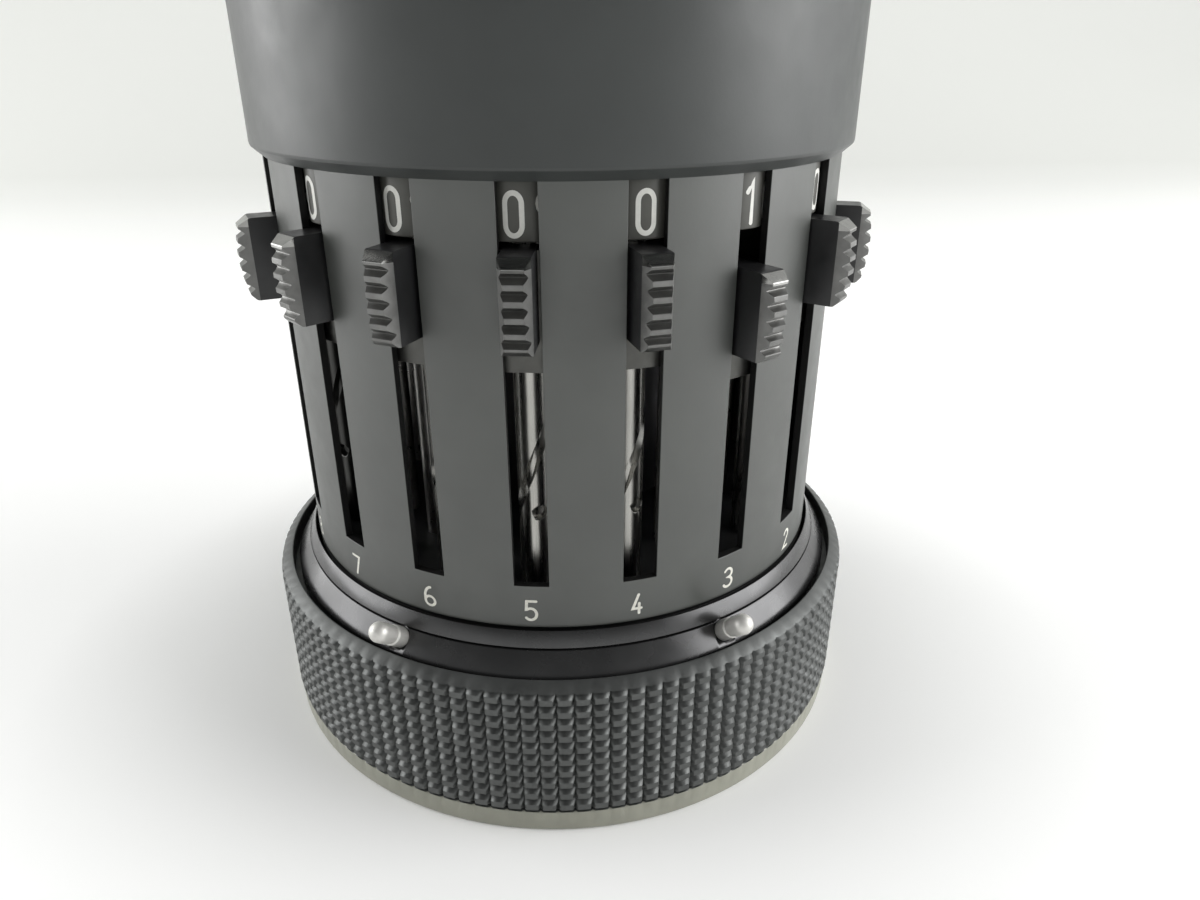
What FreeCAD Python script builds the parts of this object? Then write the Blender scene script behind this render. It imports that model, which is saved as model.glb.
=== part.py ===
import FreeCAD, Part
import math
import os
import re
import Sketcher

# A pocket calculator with stepped drum: an upright cylinder with eight setting slides in
# its slotted sleeve, a lifting and turning carriage of number dials above, a crank on top.
# Millimetres. Z runs up the main axis, z = 0 is the face it stands on, -Y is the front.
# Angles are counted from the front towards +X unless a comment says otherwise.

V = FreeCAD.Vector
doc = FreeCAD.newDocument("pocket_calculator")

# Driving dimensions

SIZES = (
    ("base_radius", 26.5, "over the knurl, half of the greatest width"),
    ("base_edge", 0.3, "chamfer of the foot"),
    ("knurl_relief", 0.15, "plain rims lie this far inside the knurl"),
    ("knurl_bottom", 1.98, "height of the lowest knurl row"),
    ("knurl_height", 11.32, "height of the knurled band"),
    ("knurl_depth", 0.35, "depth of the knurl's grooves"),
    ("knurl_rows", 10, "rows of the knurl"),
    ("shoulder_height", 0.7, "rise of the cup's shoulder"),
    ("shoulder_width", 1.15, "width of the cup's shoulder"),
    ("gap_depth", 1.7, "depth of the gap inside the shoulder"),
    ("ledge", 2.0, "thickness of the ledge that carries the sleeve"),
    ("sleeve_seat", 0.8, "lip of the ledge that the sleeve stands on"),
    ("cup_wall", 2.9, "wall of the cup"),
    ("plate_thickness", 2.1, "base plate"),
    ("sleeve_radius", 22.735, "outside of the setting sleeve"),
    ("sleeve_wall", 0.6, "wall of the setting sleeve"),
    ("seam", 0.12, "visible seam between rings"),
    ("close_fit", 0.05, "radial clearance of a seated or running fit"),
    ("axial_play", 0.15, "end play of a turning ring"),
    ("stem_wall", 0.45, "stem of the bevelled ring"),
    ("bevel_width", 0.85, "cone of the bevelled ring, across"),
    ("bevel_height", 1.2, "cone of the bevelled ring, up"),
    ("marker_ring_height", 2.81, "decimal marker ring"),
    ("marker_ring_flare", 1.15, "foot of the marker ring beyond its top"),
    ("marker_ring_rim", 1.1, "upright foot of the marker ring"),
    ("marker_radius", 0.8, "decimal marker pin"),
    ("marker_length", 3.43, "pin beyond the ring's face, to the end of its dome"),
    ("marker_root", 1.0, "pin inside the ring, before its bore cuts it"),
    ("marker_drop", 0.65, "pin's place below the ring's top"),
    ("marker_tilt", 41.0, "pin above the level, degrees"),
    ("marker_left", 324.5, "left pin's angle from the front, degrees"),
    ("marker_right", 26.3, "right pin's angle from the front, degrees"),
    ("foot_margin", 3.59, "plain sleeve below the slots"),
    ("slot_width", 2.53, "setting slots"),
    ("slot_open", 28.05, "length of a slot that shows"),
    ("slot_hidden", 1.25, "length of a slot under the collar"),
    ("slot_count", 8, "setting slots"),
    ("slot_pitch", 20.0, "between slots, degrees"),
    ("sleeve_hidden", 2.65, "length of the sleeve under the collar"),
    ("collar_wall", 0.805, "collar"),
    ("collar_chamfer", 0.7, "lower edge of the collar"),
    ("collar_height", 12.15, "collar"),
    ("collar_edge", 0.3, "upper edge of the collar"),
    ("digit_window", 3.65, "part of a digit drum that shows below the collar"),
    ("drum_height", 4.1, "digit drum"),
    ("drum_radius", 3.1, "digit drum"),
    ("drum_recess", 0.535, "drum's front behind the sleeve's outside"),
    ("rod_radius", 1.25, "setting shaft"),
    ("rod_pivot", 0.75, "pivot of a setting shaft"),
    ("helix_depth", 0.5, "helical groove of a setting shaft"),
    ("helix_height", 2.2, "groove's section along the shaft"),
    ("helix_run_out", 1.2, "groove past the last digit at each end"),
    ("knob_drop", 4.0, "knob's top below the collar at zero"),
    ("knob_height", 6.05, "knob"),
    ("knob_width", 2.05, "knob, across the slot"),
    ("knob_reach", 2.83, "knob's highest tooth beyond the sleeve"),
    ("knob_bevel", 0.42, "chamfer along the knob's outer edges, across"),
    ("knob_bevel_depth", 0.88, "chamfer along the knob's outer edges, inwards"),
    ("knob_top_cut", 0.75, "slope at the knob's upper end, outwards"),
    ("knob_top_fall", 0.6, "slope at the knob's upper end, downwards"),
    ("tooth_pitch", 1.0, "ridges of the knob"),
    ("tooth_depth", 0.42, "ridges of the knob"),
    ("tooth_count", 6, "ridges of the knob"),
    ("tooth_crown", 0.28, "how far the end ridges fall back"),
    ("end_gap", 0.45, "knob above the slot's end at nine"),
    ("digits", 10, "figures of a drum"),
    ("block_width", 4.6, "slide behind the sleeve"),
    ("block_drop", 2.05, "slide below the knob"),
    ("block_top_gap", 0.5, "slide below its digit drum at zero"),
    ("block_clearance", 0.25, "slide behind the sleeve's inside"),
    ("block_back_wall", 0.5, "slide behind its setting shaft"),
    ("drive_pin_radius", 0.3, "pin that runs in the helical groove"),
    ("drive_pin_rise", 1.8, "pin above the slide's lower end"),
    ("fork_thickness", 0.9, "fork of a slide"),
    ("fork_rise", 4.3, "fork above the slide's lower end"),
    ("fork_half_width", 2.1, "fork of a slide"),
    ("gear_radius", 2.45, "sliding gear, over its teeth"),
    ("gear_root", 1.75, "sliding gear, at the foot of its teeth"),
    ("gear_teeth", 10, "sliding gear"),
    ("gear_thickness", 0.8, "sliding gear"),
    ("gear_tip_width", 0.5, "tooth of the sliding gear at its tip"),
    ("gear_foot_width", 0.7, "tooth of the sliding gear at its foot"),
    ("flange_thickness", 0.4, "lower flange of the hub"),
    ("gear_hub", 1.25, "hub that the fork holds"),
    ("gear_flange", 1.9, "lower flange of the hub"),
    ("transmission_circle", 14.9, "circle of the transmission shafts"),
    ("transmission_radius", 0.8, "transmission shaft"),
    ("pinion_radius", 1.3, "pinion at a transmission shaft's upper end"),
    ("pinion_thickness", 1.0, "pinion"),
    ("pinion_gap", 0.3, "pinion below the dials"),
    ("main_radius", 3.0, "main shaft"),
    ("main_edge", 0.5, "chamfer of the main shaft's foot"),
    ("main_foot_gap", 1.0, "main shaft above the base plate"),
    ("step_drum_core", 11.3, "stepped drum between its teeth"),
    ("step_drum_tip", 12.3, "stepped drum over its teeth"),
    ("step_tooth_width", 0.8, "teeth of the stepped drum"),
    ("step_tooth_pitch", 6.9, "teeth of the stepped drum, degrees"),
    ("step_tooth_start", 60.0, "first teeth of the stepped drum from +X, degrees"),
    ("lift_steps", 1.5, "steps that the crank lifts for subtraction"),
    ("bell_radius", 12.4, "tens bell"),
    ("bell_height", 3.0, "tens bell"),
    ("bell_wall", 1.2, "tens bell"),
    ("bell_gap", 1.2, "tens bell above the upper plate"),
    ("tens_lever_count", 10, "tens-carry levers"),
    ("tens_lever_start", 330.0, "first tens-carry lever from +X, degrees"),
    ("tens_lever_length", 2.4, "tens-carry levers"),
    ("tens_lever_width", 0.9, "tens-carry levers"),
    ("tens_lever_height", 5.5, "tens-carry levers"),
    ("ratchet_radius", 12.0, "ratchet wheel"),
    ("ratchet_teeth", 18, "ratchet wheel"),
    ("ratchet_depth", 1.2, "ratchet wheel's teeth, inwards"),
    ("ratchet_run", 3.6, "ratchet wheel's teeth, along the rim"),
    ("ratchet_height", 2.9, "ratchet wheel above the base plate"),
    ("ratchet_thickness", 1.6, "ratchet wheel"),
    ("lower_plate_drop", 2.1, "lower bearing plate's top below the slots"),
    ("lower_plate_thickness", 2.6, "lower bearing plate"),
    ("upper_plate_gap", 0.4, "upper bearing plate above the digit drums"),
    ("upper_plate_thickness", 2.4, "upper bearing plate"),
    ("top_plate_thickness", 1.4, "top bearing plate"),
    ("top_plate_recess", 0.1, "top bearing plate below the collar's top"),
    ("post_radius", 1.3, "frame posts"),
    ("post_circle", 20.0, "circle of the frame posts"),
    ("post_spread", 45.0, "middle of a pair of frame posts from the slots' end, degrees"),
    ("post_spacing", 30.0, "half the way between the posts of a pair, degrees"),
    ("pillar_count", 3, "pillars and screws"),
    ("pillar_radius", 2.0, "pillars on the base plate"),
    ("pillar_circle", 18.0, "circle of the pillars and screws"),
    ("screw_radius", 1.0, "base screws"),
    ("screw_head", 1.9, "base screws' heads"),
    ("screw_head_height", 0.8, "base screws' heads"),
    ("screw_sink", 0.2, "base screws' heads inside the plate's face"),
    ("screw_grip", 5.0, "base screws above their heads"),
    ("screw_slot", 0.5, "slot in a screw's head"),
    ("guide_radius", 5.5, "guide tube of the carriage"),
    ("guide_spigot", 4.6, "foot of the guide tube in the top plate"),
    ("guide_head", 7.7, "head of the guide tube"),
    ("guide_head_height", 1.0, "head of the guide tube"),
    ("carriage_gap", 0.3, "carriage above the collar"),
    ("carriage_radius", 26.0, "reeded band of the carriage"),
    ("carriage_wall", 1.8, "carriage"),
    ("carriage_edge", 0.4, "lower edge of the carriage"),
    ("band_height", 9.6, "reeded band"),
    ("track_depth", 0.7, "groove above the reeded band"),
    ("track_height", 1.4, "groove above the reeded band"),
    ("bevel_rim", 1.2, "plain rim above the groove"),
    ("bevel_tilt", 35.0, "carriage's cone above the level, degrees"),
    ("bevel_skin", 0.8, "wall of the cone"),
    ("flat_radius", 16.0, "carriage's flat top"),
    ("flat_thickness", 1.2, "carriage's flat top"),
    ("boss_radius", 11.0, "boss that the clearing lever turns on"),
    ("boss_wall", 0.8, "boss"),
    ("boss_height", 1.6, "boss"),
    ("hub_radius", 9.0, "carriage's hub"),
    ("hub_height", 12.0, "carriage's hub"),
    ("hub_lip", 1.5, "lip at the hub's foot"),
    ("spring_bore", 8.0, "bore for the carriage spring"),
    ("spring_radius", 6.8, "carriage spring, mean"),
    ("spring_wire", 0.3, "carriage spring's wire, radius"),
    ("spring_turns", 5, "carriage spring"),
    ("window_radius", 20.55, "middle of the dial windows"),
    ("window_length", 3.3, "dial windows, outwards"),
    ("window_width", 2.8, "dial windows, across"),
    ("dial_start", 140.0, "first result dial from +X, degrees"),
    ("dial_count", 17, "result and counter dials"),
    ("dial_radius", 2.8, "number dial"),
    ("dial_width", 3.4, "number dial"),
    ("dial_gap", 0.25, "dial below the cone's skin"),
    ("axle_radius", 0.6, "dial's axle"),
    ("axle_neck", 0.95, "axle between a dial and its wheel"),
    ("wheel_radius", 1.7, "wheel at a dial's inner end"),
    ("wheel_thickness", 1.1, "wheel at a dial's inner end"),
    ("wheel_gap", 0.5, "wheel from the dial"),
    ("frame_gap", 0.3, "dial frame from the dials"),
    ("frame_thickness", 1.2, "dial frame"),
    ("lever_gap", 0.25, "clearing lever above the flat top"),
    ("lever_thickness", 1.6, "clearing lever"),
    ("lever_rim", 15.4, "clearing lever's disc"),
    ("lever_width", 7.0, "clearing lever's arm"),
    ("lever_reach", 25.2, "clearing lever's arm from the axis"),
    ("hinge_reach", 24.2, "finger ring's hinge from the axis"),
    ("hinge_pin", 0.5, "finger ring's hinge pin"),
    ("hinge_notch", 1.7, "lever's notch inside the hinge pin"),
    ("tongue_width", 2.3, "finger ring's tongue"),
    ("tongue_end", 0.85, "finger ring's tongue inside the hinge pin"),
    ("tongue_gap", 0.2, "tongue from the lever's ears"),
    ("finger_ring_reach", 33.9, "finger ring's centre from the axis"),
    ("finger_ring_radius", 8.0, "finger ring"),
    ("finger_hole", 5.75, "hole of the finger ring"),
    ("lever_angle", 130.0, "clearing lever from +X, degrees"),
    ("crank_angle", 345.0, "crank from +X, degrees"),
    ("crank_foot", 7.4, "boss under the crank's hub"),
    ("crank_foot_gap", 0.5, "boss above the guide tube"),
    ("crank_hub", 9.8, "crank's hub"),
    ("carriage_lift", 3.5, "travel of the carriage"),
    ("lift_clearance", 0.45, "left above a lifted piece"),
    ("crank_edge", 1.0, "upper edge of the crank's hub"),
    ("arm_thickness", 4.2, "crank's hub above the clearing lever"),
    ("arm_drop", 0.3, "crank's arm below the hub's top"),
    ("arm_root", 4.6, "half width of the arm at the hub"),
    ("arm_tip", 3.6, "half width and end radius of the arm"),
    ("arm_reach", 18.8, "knob from the main axis"),
    ("knob_pin", 1.6, "pin of the crank's knob"),
    ("grip_gap", 0.3, "knob above the arm"),
    ("grip_height", 26.0, "crank's knob"),
    ("grip_foot", 3.9, "knob's lower radius"),
    ("grip_edge", 0.4, "chamfer of the knob's foot"),
    ("grip_bead", 1.6, "height of the knob's bead"),
    ("grip_neck", 3.5, "height of the knob's waist"),
    ("grip_waist", 3.3, "knob's narrowest radius"),
    ("grip_crown", 5.2, "knob's greatest radius"),
    ("grip_curve", 40.0, "radius of the knob's flank"),
    ("grip_pin", 23.4, "pin inside the knob"),
    ("reverser_width", 6.0, "reversing lever's button"),
    ("reverser_height", 3.5, "reversing lever's button"),
    ("reverser_reach", 2.6, "reversing lever's button outwards"),
    ("reverser_neck", 1.9, "reversing lever's neck"),
    ("reverser_travel", 3.2, "reversing lever"),
    ("reverser_rise", 4.8, "reversing lever's neck above the collar's foot"),
    ("reverser_gap", 0.4, "reversing lever from the collar"),
    ("reverser_root", 2.0, "reversing lever's neck inside the collar"),
    ("overcut", 1.0, "how far a cut runs past the material"),
)

# Heights, radii and angles that follow from them

LAYOUT = (
    ("knurl_top", "knurl_bottom + knurl_height"),
    ("rim_height", "knurl_top + shoulder_height"),
    ("plain_radius", "base_radius - knurl_relief"),
    ("rim_radius", "base_radius - shoulder_width"),
    ("gap_floor", "rim_height - gap_depth"),
    ("ledge_foot", "gap_floor - ledge"),
    ("cup_bore", "base_radius - cup_wall"),
    ("sleeve_foot", "ledge_foot + sleeve_seat"),
    ("sleeve_bore", "sleeve_radius - sleeve_wall"),
    ("stem_bore", "sleeve_radius + seam"),
    ("stem_radius", "stem_bore + stem_wall"),
    ("marker_ring_bottom", "gap_floor + axial_play"),
    ("marker_ring_top", "marker_ring_bottom + marker_ring_height"),
    ("bevel_foot", "marker_ring_top + axial_play"),
    ("bevel_edge_radius", "stem_bore + bevel_width"),
    ("bevel_top", "bevel_foot + bevel_height"),
    ("marker_foot_radius", "bevel_edge_radius + marker_ring_flare"),
    ("marker_seat_height", "marker_ring_top - marker_drop"),
    ("marker_seat_slope", "marker_ring_flare / (marker_ring_height - marker_ring_rim)"),
    ("marker_seat_radius", "bevel_edge_radius + marker_drop * marker_seat_slope"),
    ("slot_bottom", "bevel_top + foot_margin"),
    ("collar_bottom", "slot_bottom + slot_open"),
    ("slot_top", "collar_bottom + slot_hidden"),
    ("sleeve_top", "collar_bottom + sleeve_hidden"),
    ("collar_radius", "sleeve_radius + collar_wall"),
    ("collar_top", "collar_bottom + collar_height"),
    ("drum_bottom", "collar_bottom - digit_window"),
    ("drum_top", "drum_bottom + drum_height"),
    ("rod_circle", "sleeve_radius - drum_recess - drum_radius"),
    ("knob_top", "collar_bottom - knob_drop"),
    ("knob_foot", "knob_top - knob_height"),
    ("step", "(knob_foot - slot_bottom - end_gap) / (digits - 1)"),
    ("block_bottom", "knob_foot - block_drop"),
    ("block_top", "drum_bottom - block_top_gap"),
    ("block_front", "sleeve_bore - block_clearance"),
    ("block_back", "rod_circle - rod_radius - close_fit - block_back_wall"),
    ("drive_pin_height", "block_bottom + drive_pin_rise"),
    ("fork_height", "block_bottom + fork_rise"),
    ("gear_low", "fork_height + fork_thickness"),
    ("gear_middle", "gear_low + gear_thickness / 2"),
    ("lower_plate_top", "slot_bottom - lower_plate_drop"),
    ("lower_plate_bottom", "lower_plate_top - lower_plate_thickness"),
    ("pivot_foot", "lower_plate_bottom + lower_plate_thickness / 4"),
    ("upper_plate_bottom", "drum_top + upper_plate_gap"),
    ("upper_plate_top", "upper_plate_bottom + upper_plate_thickness"),
    ("top_plate_top", "collar_top - top_plate_recess"),
    ("top_plate_bottom", "top_plate_top - top_plate_thickness"),
    ("carriage_bottom", "collar_top + carriage_gap"),
    ("carriage_bore", "carriage_radius - carriage_wall"),
    ("bevel_low", "carriage_bottom + band_height + track_height + bevel_rim"),
    ("flat_top", "bevel_low + (carriage_radius - flat_radius) * tan(bevel_tilt)"),
    ("flat_under", "flat_top - flat_thickness"),
    ("skin_fall", "bevel_skin / cos(bevel_tilt)"),
    ("window_height", "bevel_low + (carriage_radius - window_radius) * tan(bevel_tilt)"),
    ("dial_depth", "bevel_skin + dial_gap + dial_radius"),
    ("dial_circle", "window_radius - dial_depth * sin(bevel_tilt)"),
    ("dial_height", "window_height - dial_depth * cos(bevel_tilt)"),
    ("wheel_outer", "dial_width / 2 + wheel_gap"),
    ("wheel_inner", "wheel_outer + wheel_thickness"),
    ("frame_near", "dial_width / 2 + frame_gap"),
    ("frame_far", "frame_near + frame_thickness"),
    ("axle_start", "wheel_inner + axial_play"),
    ("dial_corner_reach", "dial_width / 2 * cos(bevel_tilt) + dial_radius * sin(bevel_tilt)"),
    ("dial_corner_drop", "dial_radius * cos(bevel_tilt) - dial_width / 2 * sin(bevel_tilt)"),
    ("pinion_overlap", "transmission_circle + pinion_radius - dial_circle + dial_corner_reach"),
    ("pinion_room", "dial_height - dial_corner_drop - pinion_overlap * tan(bevel_tilt)"),
    ("transmission_top", "pinion_room - pinion_gap"),
    ("hub_bottom", "flat_under - hub_height"),
    ("guide_top", "hub_bottom + hub_height"),
    ("boss_top", "flat_top + boss_height"),
    ("lever_bottom", "flat_top + lever_gap"),
    ("lever_top", "lever_bottom + lever_thickness"),
    ("crank_boss_bottom", "guide_top + guide_head_height + crank_foot_gap"),
    ("crank_hub_bottom", "flat_under + carriage_lift + lift_clearance"),
    ("arm_bottom", "lever_top + carriage_lift + lift_clearance"),
    ("arm_top", "arm_bottom + arm_thickness"),
    ("grip_bottom", "arm_top + grip_gap"),
    ("grip_top", "grip_bottom + grip_height"),
    ("main_top", "arm_top - crank_edge"),
)

sheet = doc.addObject("Spreadsheet::Sheet", "sizes")
for row, (name, number, note) in enumerate(SIZES, start=1):
    sheet.set("A%d" % row, name)
    sheet.set("B%d" % row, str(number))
    sheet.set("C%d" % row, note)
    sheet.setAlias("B%d" % row, name)
SHEET_OF = {name: "sizes" for name, number, note in SIZES}
SHEET_OF.update({name: "layout" for name, formula in LAYOUT})


def full(expression):
    """Writes each named size in an expression with the sheet that holds it."""
    return re.sub(r"[a-z_]+", lambda word: prefixed(word.group(0)), expression)


def prefixed(word):
    return "%s.%s" % (SHEET_OF[word], word) if word in SHEET_OF else word


layout = doc.addObject("Spreadsheet::Sheet", "layout")
for row, (name, formula) in enumerate(LAYOUT, start=1):
    layout.set("A%d" % row, name)
    layout.set("B%d" % row, "=" + full(formula))
    layout.setAlias("B%d" % row, name)
doc.recompute()

nodes = []


def value(expression):
    """The number that an expression of named sizes comes to."""
    return float(layout.evalExpression(full(expression)))


def node(thing, label):
    thing.Label = label
    nodes.append(thing)
    return thing


def new_body(name):
    return doc.addObject("PartDesign::Body", name)


def origin_of(body, role):
    return next(feature for feature in body.Origin.OriginFeatures if feature.Role == role)


def sketch_on(body, role, offset="0"):
    """An empty sketch on one of the body's origin planes, moved along the plane's normal."""
    sketch = body.newObject("Sketcher::SketchObject", body.Name + "_sketch")
    sketch.AttachmentSupport = [(origin_of(body, role), "")]
    sketch.MapMode = "FlatFace"
    sketch.setExpression("AttachmentOffset.Base.z", full(offset))
    return sketch


def hold(sketch, line, corner, expression, kind, axis):
    """Ties one corner to the sketch's origin with a named size."""
    if expression == "0":
        sketch.addConstraint(Sketcher.Constraint("PointOnObject", line, corner, axis))
        return
    index = sketch.addConstraint(Sketcher.Constraint(kind, -1, 1, line, corner, value(expression)))
    sketch.setExpression("Constraints[%d]" % index, full(expression))


def outline(sketch, points):
    """Closes straight lines and arcs through the points.

    A point is (x, y), or (x, y, radius) where an arc of that radius runs to the next point:
    a radius with a leading minus sign turns clockwise.
    """
    count = len(points)
    spots = [V(value(point[0]), value(point[1]), 0) for point in points]
    ends = []
    first = sketch.GeometryCount
    for index, point in enumerate(points):
        here = spots[index]
        there = spots[(index + 1) % count]
        if len(point) == 2:
            sketch.addGeometry(Part.LineSegment(here, there), False)
            ends.append((1, 2))
            continue
        clockwise = point[2].startswith("-")
        radius = value(point[2].lstrip("-"))
        sketch.addGeometry(arc_between(here, there, radius, clockwise), False)
        ends.append((2, 1) if clockwise else (1, 2))
    for index in range(count):
        after = (index + 1) % count
        joint = Sketcher.Constraint("Coincident", first + index, ends[index][1], first + after, ends[after][0])
        sketch.addConstraint(joint)
    for index, point in enumerate(points):
        corner = ends[index][0]
        hold(sketch, first + index, corner, point[0], "DistanceX", -2)
        hold(sketch, first + index, corner, point[1], "DistanceY", -1)
        if len(point) == 3:
            size = point[2].lstrip("-")
            tie = sketch.addConstraint(Sketcher.Constraint("Radius", first + index, value(size)))
            sketch.setExpression("Constraints[%d]" % tie, full(size))


def arc_between(here, there, radius, clockwise):
    """The short arc from here to there, which the sketch keeps counter-clockwise."""
    if clockwise:
        here, there = there, here
    chord = there - here
    middle = (here + there) * 0.5
    reach = math.sqrt(max(radius ** 2 - (chord.Length / 2) ** 2, 0.0))
    centre = middle + V(-chord.y, chord.x, 0).normalize() * reach
    start = math.atan2(here.y - centre.y, here.x - centre.x)
    finish = math.atan2(there.y - centre.y, there.x - centre.x)
    return Part.ArcOfCircle(Part.Circle(centre, V(0, 0, 1), radius), start, finish)


def disc(sketch, radius, x="0", y="0"):
    """A circle in a sketch."""
    line = sketch.addGeometry(Part.Circle(V(value(x), value(y), 0), V(0, 0, 1), value(radius)), False)
    tie = sketch.addConstraint(Sketcher.Constraint("Radius", line, value(radius)))
    sketch.setExpression("Constraints[%d]" % tie, full(radius))
    hold(sketch, line, 3, x, "DistanceX", -2)
    hold(sketch, line, 3, y, "DistanceY", -1)


def box_outline(sketch, low_x, high_x, half_width):
    """A rectangle about the sketch's x axis."""
    below = "0 - " + half_width
    outline(sketch, [(low_x, below), (high_x, below), (high_x, half_width), (low_x, half_width)])


def feature(body, kind, sketch):
    """A feature of a body that is made from one sketch."""
    made = body.newObject("PartDesign::" + kind, body.Name + "_" + kind.lower())
    made.Profile = sketch
    return made


def turn(body, sketch, kind="Revolution"):
    turned = feature(body, kind, sketch)
    turned.ReferenceAxis = (sketch, ["V_Axis"])
    turned.Angle = 360
    return turned


def pad(body, sketch, length, both_ways=False, kind="Pad", backwards=False):
    """Raises or cuts a sketch by a named length."""
    padded = feature(body, kind, sketch)
    padded.Type = "Length"
    padded.Midplane = both_ways
    padded.Reversed = backwards
    padded.setExpression("Length", full(length))
    return padded


def repeat(body, features, count, angle):
    """Repeats features round the body's Z axis over the given angle."""
    pattern = body.newObject("PartDesign::PolarPattern", body.Name + "_pattern")
    pattern.Originals = features
    pattern.Axis = (origin_of(body, "Z_Axis"), [""])
    pattern.setExpression("Occurrences", full(count))
    pattern.setExpression("Angle", full(angle))
    body.Tip = pattern
    return pattern


def turned_body(name, points):
    """A body of revolution about its own Z axis from radii and heights."""
    body = new_body(name)
    sketch = sketch_on(body, "XZ_Plane")
    outline(sketch, points)
    turn(body, sketch)
    return body


def place_by(thing, x, y, z, rotation):
    """Puts a thing at x, y, z after it is turned."""
    thing.setExpression("Placement", full("placement(vector(%s; %s; %s); %s)" % (x, y, z, rotation)))


def place(thing, x="0", y="0", z="0", angle="0"):
    """Puts a thing at x, y, z and turns it about Z, with the angle counted from +X."""
    place_by(thing, x, y, z, "rotation(vector(0; 0; 1); %s)" % angle)


def cylinder(name, radius, height, x="0", y="0", z="0"):
    made = doc.addObject("Part::Cylinder", name)
    made.setExpression("Radius", full(radius))
    made.setExpression("Height", full(height))
    place(made, x, y, z)
    return made


def fused(name, pieces):
    made = doc.addObject("Part::MultiFuse", name)
    made.Shapes = pieces
    return made


def difference(name, whole, tool):
    made = doc.addObject("Part::Cut", name)
    made.Base = whole
    made.Tool = tool
    return made


def group(name, pieces):
    made = doc.addObject("Part::Compound", name)
    made.Links = pieces
    return made


SLOTS = int(value("slot_count"))


def compass(angle):
    """The angle from +X of a direction given from the front; both stay within a full turn."""
    return "mod(%s + 270; 360)" % angle


def on_circle(radius, angle):
    """x and y of a place on a circle, with the angle counted from +X."""
    return "%s * cos(%s)" % (radius, angle), "%s * sin(%s)" % (radius, angle)


def slot_angle(number):
    """Slot 1 is on the right, slot 8 on the left, seen from the front."""
    return "(360 + ((slot_count + 1) / 2 - %d) * slot_pitch)" % number


def drill(body, low, thickness, radius, circle, count, angle):
    """Cuts a row of holes upwards from a height; the first lies on the body's +X side."""
    sketch = sketch_on(body, "XY_Plane", low)
    disc(sketch, radius, circle)
    hole = pad(body, sketch, thickness, kind="Pocket", backwards=True)
    return repeat(body, [hole], count, angle)


# Housing

def base_cup():
    """Knurled cup: the rows of the knurl are turned here."""
    points = [
        ("cup_bore", "0"),
        ("plain_radius - base_edge", "0"),
        ("plain_radius", "base_edge"),
        ("plain_radius", "knurl_bottom"),
    ]
    rows = int(value("knurl_rows"))
    for index in range(rows):
        low = "knurl_bottom + %d * knurl_height / knurl_rows" % index
        points.append(("base_radius", low + " + knurl_depth / 2"))
        points.append(("base_radius", low + " + knurl_height / knurl_rows - knurl_depth / 2"))
        if index < rows - 1:
            points.append(("base_radius - knurl_depth", low + " + knurl_height / knurl_rows"))
    points += [
        ("plain_radius", "knurl_top"),
        ("rim_radius + seam", "rim_height"),
        ("rim_radius", "rim_height - seam"),
        ("rim_radius", "gap_floor"),
        ("stem_bore", "gap_floor"),
        ("stem_bore", "sleeve_foot"),
        ("sleeve_bore", "sleeve_foot"),
        ("sleeve_bore", "ledge_foot"),
        ("cup_bore", "ledge_foot"),
    ]
    return node(turned_body("base_cup_body", points), "base_cup")


def base_plate():
    """Closes the cup from below; the screws' heads lie in counterbores."""
    body = new_body("base_plate_body")
    sketch = sketch_on(body, "XY_Plane")
    disc(sketch, "cup_bore")
    pad(body, sketch, "plate_thickness")
    sunk = "screw_sink + screw_head_height"
    for radius, depth in (("screw_radius", "plate_thickness"), ("screw_head", sunk)):
        drill(body, "0", depth, radius + " + close_fit", "pillar_circle", "pillar_count", "360")
    return node(body, "base_plate")


def base_screws():
    """Slotted screws that hold the plate to the pillars."""
    screws = []
    for index in range(int(value("pillar_count"))):
        x, y = on_circle("pillar_circle", "%d * 360 / pillar_count" % index)
        name = "base_screw_%d" % index
        head = cylinder(name + "_head", "screw_head", "screw_head_height", x, y, "screw_sink")
        shank = cylinder(name + "_shank", "screw_radius", "screw_grip", x, y, "screw_sink")
        whole = fused(name + "_whole", [head, shank])
        slot = doc.addObject("Part::Box", name + "_slot")
        slot.setExpression("Length", full("2 * screw_head"))
        slot.setExpression("Width", full("screw_slot"))
        slot.setExpression("Height", full("screw_slot"))
        place(slot, x + " - screw_head", y + " - screw_slot / 2", "screw_sink")
        screws.append(difference(name, whole, slot))
    return node(group("base_screw_group", screws), "base_screws")


def bevel_ring():
    points = [
        ("stem_bore", "gap_floor"),
        ("stem_radius", "gap_floor"),
        ("stem_radius", "bevel_foot"),
        ("bevel_edge_radius", "bevel_foot"),
        ("stem_bore + seam", "bevel_top"),
        ("stem_bore", "bevel_top - seam"),
    ]
    return node(turned_body("bevel_ring_body", points), "bevel_ring")


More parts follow.
